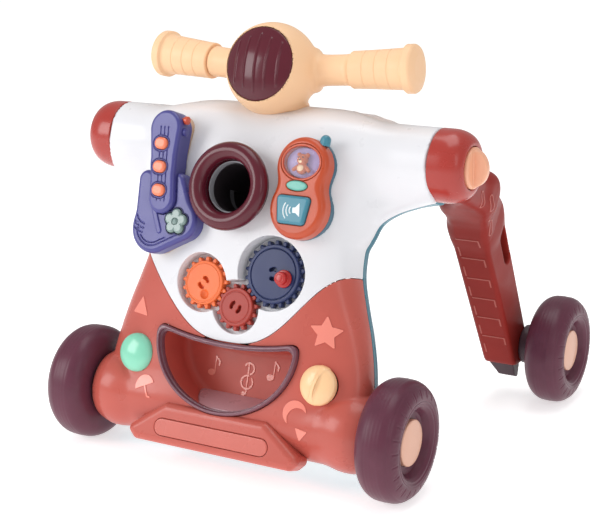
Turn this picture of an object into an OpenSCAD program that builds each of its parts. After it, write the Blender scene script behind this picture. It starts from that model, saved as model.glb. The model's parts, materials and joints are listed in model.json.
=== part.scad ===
// Push-along baby walker with a play panel, folding rear legs and four wheels.
// Millimetres. +Z is up, +X is to the right of a person facing the play panel, +Y points behind the panel.
// The origin is on the floor, midway between the wheels.

/* [Wheels] */
// Diameter of every wheel
wheel_d = 120; // [110:1:126]
// Width of every wheel
wheel_w = 42; // [36:1:44]
// Distance between the front wheels' mid planes
front_track = 363; // [360:1:380]
// Distance between the rear wheels' mid planes
rear_track = 433; // [430:1:450]
// Distance from the front axle to the rear axles
wheelbase = 340; // [330:1:350]

/* [Body] */
// Height of the shoulder axis above the floor
shoulder_h = 313; // [305:1:320]
// How far the shoulder axis lies behind the front axle
shoulder_back = 84.5; // [75:0.5:90]
// Radius of the arm tubes at the shoulders
arm_r = 36; // [34:1:37]
// Half of the width between the ends of the arm tubes
arm_x = 184; // [182:1:186]
// Radius of the housing round the front axle
hub_r = 38; // [36:1:40]
// Half of the width of that housing
hub_x = 158; // [150:1:159]
// Wall thickness of the moulded shells
wall = 2.6; // [2:0.1:3]

/* [Play panel] */
// Outer radius of the ball ring
ring_r = 44; // [42:1:45]
// Radius of the ball hole
ball_hole_r = 24; // [22:1:25]
// Gear module
gear_module = 2.85; // [2.7:0.05:2.9]
// Radius of the two round domes
dome_r = 20; // [18:1:21]
// Travel of the small buttons
button_travel = 2; // [1:0.5:2.5]

/* [Handlebar] */
// Half of the handlebar's length, without the end domes
handle_x = 151; // [145:1:156]
// Radius of the headlight housing
lamp_r = 47; // [44:1:48]

/* [Hidden] */

$fn = 48;
eps = 0.01;
gap = 0.3;            // clearance between pieces of one body
run = 0.05;           // radial running clearance of a pin in its bore
wheel_r = wheel_d / 2;
rise = shoulder_h - wheel_r;
lean = atan(shoulder_back / rise);      // how far the body leans back
arm_u = sqrt(rise * rise + shoulder_back * shoulder_back);  // shoulder axis, along the body
axle_r = 4;

// ---------------------------------------------------------------- placing
// The body's own frame: x across, y up along the leaning body, z out of the play panel.
module in_body() translate([0, -wheelbase / 2, wheel_r]) rotate([90 - lean, 0, 0]) children();
// The leg's frame: origin on the shoulder axis, with the row's directions.
module at_shoulder() translate([0, shoulder_back - wheelbase / 2, shoulder_h]) children();
module on_body(x, u, n) in_body() translate([x, u, n]) children();
module along_x(x0, x1, r) translate([x0, 0, 0]) rotate([0, 90, 0]) cylinder(r = r, h = x1 - x0);
// side is -1 for the left and 1 for the right: children are drawn for the right side.
module sided(side) mirror([side < 0 ? 1 : 0, 0, 0]) children();

// ---------------------------------------------------------------- body form
// Stations up the body: [height along the body, half width, depth of the front, depth of the back]
stations = [
    [-34, 146, 24, 22], [-12, 152, 36, 30], [30, 152, 38, 32], [62, 147, 39, 32], [92, 139, 43, 31],
    [120, 129, 48, 30], [150, 120, 52, 30], [178, 119, 55, 30], [204, 123, 56, 30], [228, 128, 56, 30],
    [252, 128, 53, 31], [276, 132, 46, 30], [296, 121, 33, 20], [304, 104, 21, 10], [311, 80, 8, 3]];
// The same for the yoke that spreads from under the arms to their ends
yoke = [[186, 121, 27, 26], [204, 132, 27, 26], [216, 149, 24, 24], [228, 172, 18, 18], [242, 184, 22, 22]];
bulge = 3.2;          // exponent of the rounded cross-section

function half_section(w, d, n) = [for (i = [0 : n])
    let (a = 180 * i / n, c = cos(a), s = sin(a))
    [sign(c) * w * pow(abs(c), 2 / bulge), d * pow(s, 2 / bulge)]];

// Points of one cross-section at height u. base carries its open side below the split plane.
function section(u, w, d, base) = [for (p = concat(base > 0 ? [[w, -base]] : [], half_section(w, d, 16),
    base > 0 ? [[-w, -base]] : [])) [p[0], u, p[1]]];

// The front (side 1) or back (side -1) of a loft over a list of stations, grown by g.
module loft(list, side, g, base) {
    rings = [for (s = list) section(s[0] + (s[0] > 200 ? g : s[0] < 0 ? -g : 0), s[1] + g,
        (side > 0 ? s[2] : s[3]) + g, base)];
    m = len(rings[0]);
    last = (len(list) - 1) * m;
    mirror([0, 0, side < 0 ? 1 : 0]) polyhedron([for (ring = rings) each ring], concat(
        [[for (j = [m - 1 : -1 : 0]) j], [for (j = [0 : m - 1]) last + j]],
        [for (i = [0 : len(list) - 2]) for (j = [0 : m - 1]) let (a = i * m + j, b = i * m + (j + 1) % m)
            each [[a, b, b + m], [a, b + m, a + m]]]));
}

// The whole moulding: torso, yoke, arm tubes and axle housing.
module moulding(side, g, base) {
    loft(stations, side, g, base);
    loft(yoke, side, g, base);
    intersection() {
        union() {
            translate([0, arm_u, 0]) along_x(-arm_x, arm_x, arm_r + g, $fn = 32);
            along_x(-hub_x, hub_x, hub_r + g, $fn = 32);
        }
        translate([-300, -100, side > 0 ? -base : -100]) cube([600, 500, 100 + base]);
    }
}

// Border between the upper and the lower front shell: height at x.
bib_low = 66;
bib_rise = 82;
bib_x = 125;
function bib(x) = let (t = min(1, abs(x) / bib_x)) bib_low + bib_rise * t * t * t * (4 - 3 * t);
module bib_region(shift) linear_extrude(120, center = true) polygon(concat(
    [for (x = [-200 : 8 : 200]) [x, bib(x) + shift]], [[200, 400], [-200, 400]]));

// Screws that hold the back cover to the front shells: [x, u]
screw_at = [[-60, -22], [60, -22], [-116, 74], [116, 74], [-98, 158], [98, 158], [-88, 262], [88, 262],
    [-150, 267], [150, 267]];
boss_r = 4.6;
head_boss_r = 7.2;    // behind, where it also surrounds the screw's head
screw_r = 1.6;
head_n = -18;         // the underside of the screws' heads

// A boss that tapers towards the split plane, from height n0 up or down to the wall.
module boss(p, n0) hull() for (n = [n0, n0 + 100 - gap]) translate([p[0], p[1], n])
    cylinder(r = (n0 < 0 ? head_boss_r : boss_r) - (abs(n) < 1 ? 0.6 : 0), h = eps, $fn = 12);

module shell_of(side) difference() {
    union() {
        difference() {
            moulding(side, 0, 0);
            moulding(side, -wall, 1);
        }
        intersection() {
            moulding(side, -wall / 2, 0);
            for (p = screw_at) boss(p, side > 0 ? gap : -100);
        }
    }
    for (p = screw_at) translate([p[0], p[1], -100]) cylinder(r = screw_r + 0.2, h = 122, $fn = 12);
}

// Everything that opens the front shells from outside.
module panel_openings() {
    translate([ring_x, ring_u, 20]) cylinder(r = ball_hole_r + 3, h = 60, $fn = 40);
    for (g = gears) translate([g[1], g[2], 20]) cylinder(r = well_r(g) + wall, h = 60, $fn = 40);
    translate([0, 0, 15]) linear_extrude(60) offset(delta = gap) mouth();
    for (s = [-1, 1]) translate([s * dome_x, dome_u, 15]) cylinder(r = dome_r + 0.6, h = 60, $fn = 36);
}

module front_upper_shell() color("white") in_body() {
    difference() {
        intersection() {
            shell_of(1);
            bib_region(gap / 2);
        }
        panel_openings();
        lamp_socket();
    }
    // the walls round the gears, from the gear plate out to the panel's face
    intersection() {
        moulding(1, 0, 0);
        difference() {
            for (g = gears) translate([g[1], g[2], well_floor + gap])
                cylinder(r = well_r(g) + wall + 0.5, h = 40);
            for (g = gears) translate([g[1], g[2], well_floor - 1]) cylinder(r = well_r(g), h = 60);
        }
    }
}

module front_lower_shell() color("indianred") in_body() difference() {
    shell_of(1);
    bib_region(-gap / 2);
    panel_openings();
}

// ---------------------------------------------------------------- back cover
door_x = 68;
door_u = 122;
door_size = [64, 50];
module back_cover() color("steelblue") in_body() difference() {
    union() {
        translate([0, 0, -gap]) shell_of(-1);
        translate([door_x - 30, door_u - 23, -28]) cube([60, 46, 16]);
    }
    translate([door_x - 28, door_u - 21, -60]) cube([56, 42, 46]);
    translate([door_x - door_size[0] / 2 - gap, door_u - door_size[1] / 2 - gap, -60])
        cube([door_size[0] + 2 * gap, door_size[1] + 2 * gap, 60 - 28.6]);
    for (p = screw_at) translate([p[0], p[1], -100]) cylinder(r = 4.4, h = 100 + head_n, $fn = 16);
    for (i = [-3 : 3]) translate([speaker_x + i * 6 - 1.5, speaker_u - 16, -60]) cube([3, 32, 40]);
    lamp_socket();
}

module battery_door() color("steelblue") on_body(door_x, door_u, -31) difference() {
    linear_extrude(2.2) square(door_size, center = true);
    translate([0, -door_size[1] / 2 + 6, -1]) cylinder(r = 1.8, h = 5);
}

module shell_screws() color("silver") in_body() for (p = screw_at) translate([p[0], p[1], head_n]) {
    translate([0, 0, -2.5]) cylinder(r = 4, h = 2.5);
    cylinder(r = screw_r, h = 36);
}

// ---------------------------------------------------------------- speaker
speaker_x = 70;
speaker_u = 205;
module speaker() color("dimgray") on_body(speaker_x, speaker_u, -22) rotate_extrude()
    polygon([[0, 4], [6, 4], [20, 0], [24, 0], [24, 2], [12, 12], [12, 18], [0, 18]]);

// ---------------------------------------------------------------- mouth tray
mouth_half = 81;
mouth_top = 70;
mouth_depth = 73;
// The mouth's outline: half an ellipse under a sagging upper edge.
module mouth() polygon(concat(
    [for (i = [0 : 30]) let (a = 180 + 6 * i) [mouth_half * cos(a), mouth_top - 4 + mouth_depth * sin(a)]],
    [for (i = [0 : 12]) let (x = 75 - 12.5 * i) [x, mouth_top - 5 + 9 * pow(x / 75, 2)]]));

tray_back = -12;      // the back wall's place behind the split plane
tray_level = 69;      // height of the tray floor's top above the ground
liner_top = 31.7;     // where the liner ends, under the rim
floor_t = 3;
rim_w = 5;
rim_top = 43;

module mouth_rim() color("rosybrown") in_body() translate([0, 0, liner_top + gap])
    linear_extrude(rim_top - liner_top - gap) difference() {
    mouth();
    offset(delta = -rim_w) mouth();
}

// Keeps what lies over the level plane at height h above the ground, in the body's frame.
module over_level(h) rotate([lean, 0, 0]) translate([-200, h - wheel_r, -200]) cube([400, 300, 400]);

module tray_liner() color("firebrick") in_body() difference() {
    intersection() {
        translate([0, 0, tray_back - 2]) linear_extrude(liner_top - tray_back + 2) mouth();
        over_level(tray_level - floor_t + gap);
    }
    translate([0, 0, tray_back]) linear_extrude(60) offset(delta = -2) mouth();
    translate([ring_x - chute_w / 2 + 2, mouth_top - 20, tray_back])
        cube([chute_w - 4, 30, chute_front - 2 - tray_back]);
}

module tray_floor() color("thistle") in_body() difference() {
    intersection() {
        translate([0, 0, tray_back + gap]) linear_extrude(liner_top - tray_back - gap)
            offset(delta = -2.3) mouth();
        over_level(tray_level - floor_t);
    }
    over_level(tray_level);
}

// ---------------------------------------------------------------- ball drop
ring_x = -5;          // the ring stands a little to the left, to make room for the phone
ring_u = 218;
ring_foot = 45;       // the collar starts inside the panel's wall, and is cut to it
ring_tube = 8.8;      // radius of the ring's tube
ring_level = 72;      // where the tube's centre line lies
collar_r = 26.2;      // inside of the collar that joins the tube to the panel
collar_w = 10.8;
chute_w = 60;
chute_front = 30.5;
chute_back = -14.5;
chute_top = 50.2;     // under the panel's wall; a collar goes on through the panel

module ball_ring() color("maroon") in_body() difference() {
    translate([ring_x, ring_u, 0]) rotate_extrude($fn = 40) union() {
        translate([ring_r - ring_tube, ring_level]) circle(r = ring_tube, $fn = 24);
        translate([collar_r, ring_foot]) square([collar_w, ring_level - ring_foot]);
    }
    moulding(1, gap, 1);
}

// A tube behind the ring that turns down into the tray: an open channel, closed by a flat cover in front.
catch_foot = 186;     // the round catch under the ring ends here, the straight duct's plates begin
module ball_chute() color("dimgray") on_body(ring_x, 0, 0) {
    chute_catch();
    for (x = [-chute_w / 2, chute_w / 2 - 2])
        duct_plate(x, 2, chute_back, chute_front - 2 - gap - chute_back);
    duct_plate(2 + gap - chute_w / 2, chute_w - 4 - 2 * gap, chute_back, 2);
    duct_plate(-chute_w / 2, chute_w, chute_front - 2, 2);
}
module duct_plate(x, w, n, depth) translate([x, mouth_top - 2, n])
    cube([w, catch_foot - gap - mouth_top + 2, depth]);
module chute_catch() difference() {
    union() {
        translate([0, ring_u, chute_back]) cylinder(r = chute_w / 2, h = chute_top - chute_back);
        translate([-chute_w / 2, catch_foot, chute_back])
            cube([chute_w, ring_u - catch_foot, chute_front - chute_back]);
        translate([0, ring_u, chute_top - 2]) cylinder(r = collar_r - gap, h = 61 - chute_top);
    }
    translate([0, ring_u, chute_back + 2]) cylinder(r = ball_hole_r, h = 100);
    translate([-chute_w / 2 + 2, 0, chute_back + 2])
        cube([chute_w - 4, ring_u, chute_front - chute_back - 4]);
}

// ---------------------------------------------------------------- gear train
// [teeth, x, u]; the idler meshes with both others
idler_x = 7;
idler_u = 102;
large_teeth = 22;
medium_teeth = 17;
idler_teeth = 15;
large_angle = 45.5;   // direction from the idler's centre to the large gear's
medium_angle = 155;   // and to the medium gear's
function pitch_r(teeth) = gear_module * teeth / 2;
function mesh_place(teeth, angle) = let (d = pitch_r(teeth) + pitch_r(idler_teeth))
    [teeth, idler_x + d * cos(angle), idler_u + d * sin(angle)];
gears = [mesh_place(large_teeth, large_angle), mesh_place(medium_teeth, medium_angle),
    [idler_teeth, idler_x, idler_u]];
function well_r(g) = pitch_r(g[0]) + gear_module * 0.85 + 3;
well_floor = 33;
gear_bottom = well_floor + 1;
gear_h = 7;
face_t = 2.5;         // the raised face on top of the teeth
pin_r = 3;
pin_h = 5;            // the gears' pins, and a millimetre more for the gears' bores

// Involute gear outline with a little backlash, its first tooth centred on angle 0.
pressure = 25;
backlash = 0.8;
function inv(a) = tan(a) * 180 / PI - a;
function flank_angle(r, rp) = inv(acos(min(1, rp * cos(pressure) / r)));
function tooth_half(r, rp, teeth) = (90 - backlash * 90 / PI / gear_module) / teeth
    + inv(pressure) - flank_angle(r, rp);
module gear_outline(teeth) {
    rp = pitch_r(teeth);
    tip = rp + 0.8 * gear_module;
    root = rp - 1.05 * gear_module;
    start = max(root, rp * cos(pressure)) + 0.02;
    radii = [for (i = [0 : 5]) start + (tip - start) * i / 5];
    polygon([for (t = [0 : teeth - 1]) for (p = concat(
        [[root, -tooth_half(start, rp, teeth)]],
        [for (r = radii) [r, -tooth_half(r, rp, teeth)]],
        [for (i = [5 : -1 : 0]) [radii[i], tooth_half(radii[i], rp, teeth)]],
        [[root, tooth_half(start, rp, teeth)]]))
        let (a = 360 * t / teeth + p[1]) [p[0] * cos(a), p[0] * sin(a)]]);
}

// A toy gear: toothed rim, raised face, bore and two short curved holes on the line at angle holes.
// turn sets its teeth in mesh.
hole_arc = 76;
module toy_gear(g, turn, holes) on_body(g[1], g[2], gear_bottom) difference() {
    union() {
        rotate(turn) linear_extrude(gear_h) gear_outline(g[0]);
        cylinder(r = pitch_r(g[0]) - gear_module, h = gear_h + face_t);
    }
    translate([0, 0, -1]) cylinder(r = pin_r + run, h = pin_h);
    for (s = [0, 180]) rotate(s + holes - hole_arc / 2) translate([0, 0, gear_h - 1.8])
        rotate_extrude(angle = hole_arc) translate([3.1, 0]) square([3.6, 6]);
}
// The idler has a gap facing each neighbour's tooth: the neighbours are turned to suit.
idler_turn = large_angle + 180 / idler_teeth;
function mesh_turn(teeth, angle) = angle + 180
    + (idler_turn + 180 / idler_teeth - angle) * -idler_teeth / teeth;

crank_r = 13.5;       // the crank's distance from the gear's centre
crank_angle = -14;
module crank_place() on_body(gears[0][1], gears[0][2], gear_bottom) rotate(crank_angle)
    translate([crank_r, 0, gear_h + face_t]) children();

module large_gear() color("darkslateblue") difference() {
    toy_gear(gears[0], mesh_turn(large_teeth, large_angle), 100);
    crank_place() translate([0, 0, -6]) cylinder(r = 2 + run, h = 10);
}
// The medium gear has a hollow for a fingertip.
module medium_gear() color("sandybrown") difference() {
    toy_gear(gears[1], mesh_turn(medium_teeth, medium_angle), 55);
    on_body(gears[1][1], gears[1][2], gear_bottom) rotate(-75) translate([12, 0, gear_h + face_t - 1.7])
        cylinder(r = 4.6, h = 5);
}
module idler_gear() color("indianred") toy_gear(gears[2], idler_turn, -25);
module crank_knob() color("crimson") crank_place() {
    translate([0, 0, -5]) cylinder(r = 2, h = 6);
    translate([0, 0, 0.3]) cylinder(r = 8.6, h = 2.7);
    translate([0, 0, 0.3]) cylinder(r = 6.2, h = 8.7);
    translate([0, 0, 9 - eps]) cylinder(r1 = 6.2, r2 = 4.8, h = 1.4);
}

module gear_plate() color("whitesmoke") in_body() {
    for (g = gears) {
        translate([g[1], g[2], well_floor - 2]) cylinder(r = well_r(g) + wall, h = 2);
        translate([g[1], g[2], well_floor - 1]) cylinder(r = pin_r, h = pin_h);
    }
}

// ---------------------------------------------------------------- domes
dome_x = 107;
dome_u = 40;
dome_n = 27;
// A spherical cap of radius r and height h.
module cap(r, h) rotate_extrude() intersection() {
    translate([0, h - (r * r + h * h) / (2 * h)]) circle(r = (r * r + h * h) / (2 * h));
    square([r, h]);
}
module green_button() color("aquamarine") on_body(-dome_x, dome_u, dome_n) {
    cylinder(r = dome_r, h = 8);
    translate([0, 0, 8 - eps]) cap(dome_r, 8);
    translate([0, 0, -6]) cylinder(r = 5, h = 7);
}
module click_knob() color("navajowhite") on_body(dome_x, dome_u, dome_n) {
    cylinder(r = dome_r, h = 8);
    translate([0, 0, 8 - eps]) cap(dome_r, 7);
    hull() for (s = [-1, 1]) translate([0, s * (dome_r - 7), 8]) cylinder(r1 = 3, r2 = 1.5, h = 8, $fn = 16);
    translate([0, 0, -6]) cylinder(r = 5, h = 7);
}

// ---------------------------------------------------------------- bumper
bumper_top = [60, -5];
bumper_low = [94, -45];
bumper_n = 43.5;
module bumper_outline(g) offset(r = 5 + g) offset(delta = -5) polygon([
    [-bumper_low[0], bumper_low[1]], [bumper_low[0], bumper_low[1]], [bumper_low[0] + 4, bumper_low[1] + 8],
    [bumper_top[0], bumper_top[1]], [-bumper_top[0], bumper_top[1]],
    [-bumper_low[0] - 4, bumper_low[1] + 8]]);
module plate_outline(g) hull() for (s = [-1, 1]) translate([s * 58, -29]) circle(r = 8.5 + g);

module front_bumper() color("indianred") in_body() difference() {
    hull() {
        linear_extrude(bumper_n - 4) bumper_outline(0);
        linear_extrude(bumper_n) bumper_outline(-4);
    }
    moulding(1, gap, 1);
    translate([0, 0, bumper_n - 2.2]) linear_extrude(10) plate_outline(gap);
    translate([0, 0, rim_top - 30]) linear_extrude(60) offset(delta = gap) mouth();
}
module bumper_plate() color("lightcoral") on_body(0, 0, bumper_n - 2) linear_extrude(2.6) plate_outline(0);

// ---------------------------------------------------------------- axles and wheels
function axle_reach(track) = (track + wheel_w) / 2 - 12.3;  // ends under the hub cap
module front_axle() color("silver") translate([0, -wheelbase / 2, wheel_r])
    along_x(-axle_reach(front_track), axle_reach(front_track), axle_r);
module rear_axle(side) color("silver") translate([0, wheelbase / 2, wheel_r]) sided(side)
    along_x(leg_in + 10, axle_reach(rear_track), axle_r);

cap_r = 23;
cap_t = 4;
// Half of the tyre's section: a balloon round a recessed hub, open behind, from the axis outwards.
function tyre_edge(r, a) = [wheel_r - r + r * cos(a), (wheel_w / 2 - r) * sign(sin(a)) + r * sin(a)];
module tyre_section() {
    half = wheel_w / 2;
    round_r = 17;
    difference() {
        polygon(concat(
            [[axle_r + run, -half + 6], [18, -half + 6], [20, -half + 3], [wheel_r - round_r - 4, -half]],
            [for (i = [0 : 6]) tyre_edge(round_r, -90 + 15 * i)],
            [for (i = [0 : 6]) tyre_edge(round_r, 15 * i)],
            [[wheel_r - round_r - 4, half], [28, half - 5], [cap_r + gap, half - 7], [cap_r + gap, half - 12],
            [axle_r + run, half - 12]]));
        polygon([[18, -half - 1], [21, half - 16], [42, half - 12], [52, half - 16], [54, -half + 12],
            [44, -half + 4], [36, -half - 1]]);
    }
}
// A wheel's pieces, drawn with the outer side to +X.
module tyre() rotate([0, 90, 0]) rotate_extrude($fn = 72) tyre_section();
module hub_cap() rotate([0, 90, 0]) translate([0, 0, wheel_w / 2 - 11.7]) cylinder(r = cap_r, h = cap_t);
module wheel_place(side, front) translate([0, (front ? -1 : 1) * wheelbase / 2, wheel_r]) sided(side)
    translate([(front ? front_track : rear_track) / 2, 0, 0]) children();
module a_tyre(side, front) color("saddlebrown") wheel_place(side, front) tyre();
module a_hub_cap(side, front) color("peachpuff") wheel_place(side, front) hub_cap();

// ---------------------------------------------------------------- shoulders
cap_end = 218;        // outer end of the shoulder cap
spindle_r = 10;
knob_r = 20.5;
shank_r = 7;
cap_round = 13.6;     // how far the cap's end is rounded inwards
module shoulder_spindles() color("gray") at_shoulder() for (s = [-1, 1]) sided(s) {
    along_x(arm_x - 4.4, arm_x - 0.4, arm_r - wall - gap);
    along_x(arm_x - 24, cap_end - 20, spindle_r);
}
// The domed cap that turns on the spindle: a round-edged cup with a recess for the knob.
module shoulder_cap(side) color("firebrick") at_shoulder() sided(side) translate([arm_x + 0.6, 0, 0])
    rotate([0, 90, 0]) difference() {
        len = cap_end - arm_x - 0.6;
        rotate_extrude() polygon(concat([[0, 0], [arm_r, 0]],
            [for (a = [0 : 10 : 90]) [arm_r - cap_round * (1 - cos(a)), len - 22 + 22 * sin(a)]],
            [[0, len]]));
        translate([0, 0, -1]) cylinder(r = spindle_r + run, h = len - 18);
        translate([0, 0, -1]) difference() {
            cylinder(r = arm_r - 3, h = len - 20);
            cylinder(r = spindle_r + 3.5, h = len);
        }
        translate([0, 0, len - 6]) cylinder(r = knob_r + 0.5, h = 10);
        cylinder(r = shank_r + run, h = 2 * len);
    }
module lock_knob(side) color("peachpuff") at_shoulder() sided(side) translate([cap_end - 5.7, 0, 0])
    rotate([0, 90, 0]) difference() {
        union() {
            cylinder(r = knob_r, h = 7);
            translate([0, 0, 7 - eps]) cap(knob_r, 9);
            translate([0, 0, -7]) cylinder(r = shank_r, h = 8);
        }
        for (s = [-1, 1]) translate([s * 12.5, 0, 12]) rotate([0, s * 24, 0])
            cube([15, 60, 8], center = true);
    }

// ---------------------------------------------------------------- legs
leg_in = 138;         // inner and outer face of the straight part of the leg
leg_out = 180;
elbow = [147, -86];   // [y, z] from the shoulder axis
elbow_r = 26.5;       // half of the leg's depth at the elbow
ankle = [243.5, -255.5];
ankle_r = 22.5;       // and at the ankle
foot_line = -273;     // the shell's lower end, from the shoulder axis
axle_at = [wheelbase - shoulder_back, wheel_r - shoulder_h];  // rear axle from the shoulder axis
// A round block of the leg: centre [y, z], radius, and its reach in x.
module knuckle(p, r, x0, x1) translate([0, p[0], p[1]]) along_x(x0, x1, r, $fn = 32);
module upper_knuckle(g) knuckle([96, -46], 20 + g, leg_in + 1 - g, 198 + g);
module elbow_knuckle(g) knuckle(elbow, elbow_r + g, leg_in - g, leg_out + g);
module leg_solid(g) {
    hull() {
        knuckle([30, -26], 18 + g, arm_x + 4 - g, cap_end - 12 + g);
        upper_knuckle(g);
    }
    hull() {
        upper_knuckle(g);
        elbow_knuckle(g);
    }
    hull() {
        elbow_knuckle(g);
        knuckle(ankle, ankle_r + g, leg_in - g, leg_out - 3 + g);
    }
}
slot_angle = 30;
module leg_slot(g) translate([0, 182, -120]) rotate([slot_angle, 0, 0]) hull() for (s = [-1, 1])
    translate([0, 0, s * 14]) along_x(60, 240, 6 + g, $fn = 24);
module leg_shell(side) color("brown") at_shoulder() sided(side) difference() {
    leg_solid(0);
    difference() {
        leg_solid(-3);
        leg_slot(3);
    }
    leg_slot(0);
    translate([100, 150, foot_line - 60]) cube([140, 140, 60]);
    translate([0, axle_at[0], axle_at[1]]) along_x(leg_out - 10, 240, spigot_r + gap);
    along_x(100, arm_x + 0.5, arm_r + 2);
    along_x(arm_x, cap_end + 10, arm_r + gap);
}
// The dark foot: a core in the ankle that carries the axle, a wedge below the shell,
// and a boss that spaces the wheel, joined to the core by a spigot through the shell's side.
spigot_r = 9;
boss_out = (rear_track - wheel_w) / 2 - 0.5;
module leg_foot(side) color("dimgray") at_shoulder() sided(side) difference() {
    union() {
        knuckle(ankle, ankle_r - 3.5, leg_in + 3.3, leg_out - 6.3);
        hull() {
            translate([leg_in + 4, ankle[0] - 6, foot_line - 2]) cube([leg_out - leg_in - 14, 13, 8]);
            translate([leg_in + 11, ankle[0] - 2, foot_line - 20]) cube([leg_out - leg_in - 24, 12, 3]);
        }
        translate([0, axle_at[0], axle_at[1]]) along_x(leg_out - 8, leg_out, spigot_r);
        translate([0, axle_at[0], axle_at[1]]) along_x(leg_out - 2, boss_out, 24);
    }
    translate([0, axle_at[0], axle_at[1]]) along_x(100, 240, axle_r + run);
}

// ---------------------------------------------------------------- handlebar
lamp_u = 343;
lamp_n = 30;
handle_u = 344;
handle_n = 16;
bar_rise = 4.8;       // the grips' angle upwards
bar_sweep = 2.6;      // and backwards
lens_r = 37;
neck_r = 15.5;
grip_start = 82;
// Where a side of the bar starts: its axis is the children's x axis.
module bar_place(side) on_body(0, handle_u, handle_n) sided(side) rotate([0, bar_sweep, bar_rise]) children();
// The solid foot of the headlight housing, grown by g: its stem, its flared base and its sphere.
module lamp_foot(g) {
    translate([0, lamp_u, lamp_n]) sphere(r = lamp_r + g);
    translate([0, 290.5 - g, 10]) rotate([-90, 0, 0]) cylinder(r = 21 + g, h = 30);
    translate([0, 305 - g, 10]) rotate([-90, 0, 0]) cylinder(r1 = 31 + g, r2 = 33 + g, h = 14 + g);
}
module lamp_socket() lamp_foot(gap, $fn = 36);
module headlight_housing() color("navajowhite") union() {
    for (s = [-1, 1]) bar_place(s) {
        along_x(30, grip_start - gap, neck_r);
        along_x(grip_start - 10, grip_start + 20, neck_r - 2.5);
    }
    in_body() lamp_body();
}
module lamp_body() difference() {
    lamp_foot(0);
    translate([0, lamp_u, lamp_n + 22]) cylinder(r = lens_r + 0.4, h = 60);
    translate([0, lamp_u, lamp_n + 32.6]) cylinder(r = 60, h = 60);
    translate([0, lamp_u, lamp_n]) cylinder(r = lens_r - 3, h = 60);
}
module headlight_lens() color("maroon") on_body(0, lamp_u, lamp_n + 22.3) {
    cylinder(r = lens_r, h = 5);
    translate([0, 0, 5 - eps]) cap(lens_r, 9);
}
module grip(side) color("navajowhite") bar_place(side) rotate([0, 90, 0])
    difference() {
        rotate_extrude() polygon(concat(
            [[0, grip_start], [18.5, grip_start], [20.7, handle_x - 14], [24.3, handle_x - 11],
            [24.3, handle_x - 4]],
            [for (i = [1 : 6]) let (a = 15 * i) [24.3 * cos(a), handle_x - 4 + 6 * sin(a)]]));
        translate([0, 0, grip_start - 1]) cylinder(r = neck_r - 2.5 + gap, h = 22);
    }

// ---------------------------------------------------------------- guitar
guitar_n = 56;        // where the guitar's pale back ends and its coloured front starts
guitar_front = 70;
neck_front = 76;
module lobe(x, u, r) translate([x, u]) circle(r = r);
module guitar_outline() {
    hull() { lobe(-88, 168, 24); lobe(-57, 178, 18); }
    hull() { lobe(-90, 176, 20); lobe(-104, 216, 8.5); }
    hull() { lobe(-62, 182, 18); lobe(-68, 216, 8.5); }
    hull() { lobe(-88, 170, 20); lobe(-66, 178, 14); lobe(-86, 205, 14); }
}
module neck_outline(g) hull() {
    lobe(-79.5, 198, 14 + g);
    lobe(-84, 232, 13.5 + g);
    lobe(-87, 269, 17.5 + g);
}
guitar_buttons = [[-88, 253], [-86, 229.5], [-83, 206]];
flower_at = [-60, 177];
module oval(p, a, b, g) translate(p) rotate(-5) hull() for (s = [-1, 1]) translate([s * (a - b), 0])
    circle(r = b + g);
module guitar_back() color("antiquewhite") in_body() difference() {
    translate([0, 0, 34]) linear_extrude(guitar_n - 34) offset(delta = -1.5) union() {
        guitar_outline();
        neck_outline(0);
    }
    moulding(1, gap, 1);
}
module guitar_body() color("mediumslateblue") in_body() translate([0, 0, guitar_n]) difference() {
    linear_extrude(guitar_front - guitar_n) difference() {
        guitar_outline();
        neck_outline(gap);
    }
    translate([0, 0, 6]) linear_extrude(30) offset(delta = 0.5) flower();
    translate([0, 0, -1]) linear_extrude(4.5) offset(delta = -9) guitar_outline();
}
module flower() translate(flower_at) union() {
    circle(r = 8);
    for (i = [0 : 4]) rotate(72 * i + 18) translate([8, 0]) circle(r = 5);
}
module guitar_flower_button() color("darkseagreen") in_body() translate([0, 0, guitar_n + 9.3])
    linear_extrude(8) flower();
module guitar_neck() color("slateblue") in_body() difference() {
    translate([0, 0, guitar_n]) linear_extrude(neck_front - guitar_n) neck_outline(0);
    for (p = guitar_buttons) translate([0, 0, neck_front - 8]) linear_extrude(30) oval(p, 7.5, 6, 0.3);
    for (p = peg_at) translate(p) along_x(-8, 30, peg_r + run);
}
module guitar_button(i) color("salmon") in_body() translate([0, 0, neck_front - 5])
    linear_extrude(8) oval(guitar_buttons[i], 7.5, 6, 0);
peg_at = [[-73, 279, 67], [-73, 267, 67]];
peg_r = 2.5;
module guitar_peg(i) color("tomato") on_body(peg_at[i][0], peg_at[i][1], peg_at[i][2]) {
    along_x(-7, 5, peg_r);
    along_x(4.2, 8.2, 4.2);
}

// ---------------------------------------------------------------- phone
phone_n = 56;         // where the phone's dark back ends and its coloured front starts
phone_front = 68;
phone_x = 70;
module phone_outline() {
    lobe(phone_x, 246, 26.5);
    lobe(phone_x + 1, 205, 28.5);
    translate([phone_x - 20.5, 205]) square([41, 41]);
}
window_at = [70, 249];
light_at = [69, 226];
module ellipse(p, a, b) translate(p) resize([2 * a, 2 * b]) circle(r = a);
module phone_back() color("darkslategray") in_body() difference() {
    translate([0, 0, 34]) linear_extrude(phone_n - 34) phone_outline();
    moulding(1, gap, 1);
}
module phone_shell() color("coral") in_body() translate([0, 0, phone_n]) difference() {
    linear_extrude(phone_front - phone_n) phone_outline();
    translate([0, 0, 2]) linear_extrude(40) ellipse(window_at, 19.5, 15.5);
    translate([0, 0, 9]) linear_extrude(40) ellipse(light_at, 11.8, 5.3);
    translate([0, 0, 5]) linear_extrude(40) speaker_outline(0.4);
}
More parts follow.
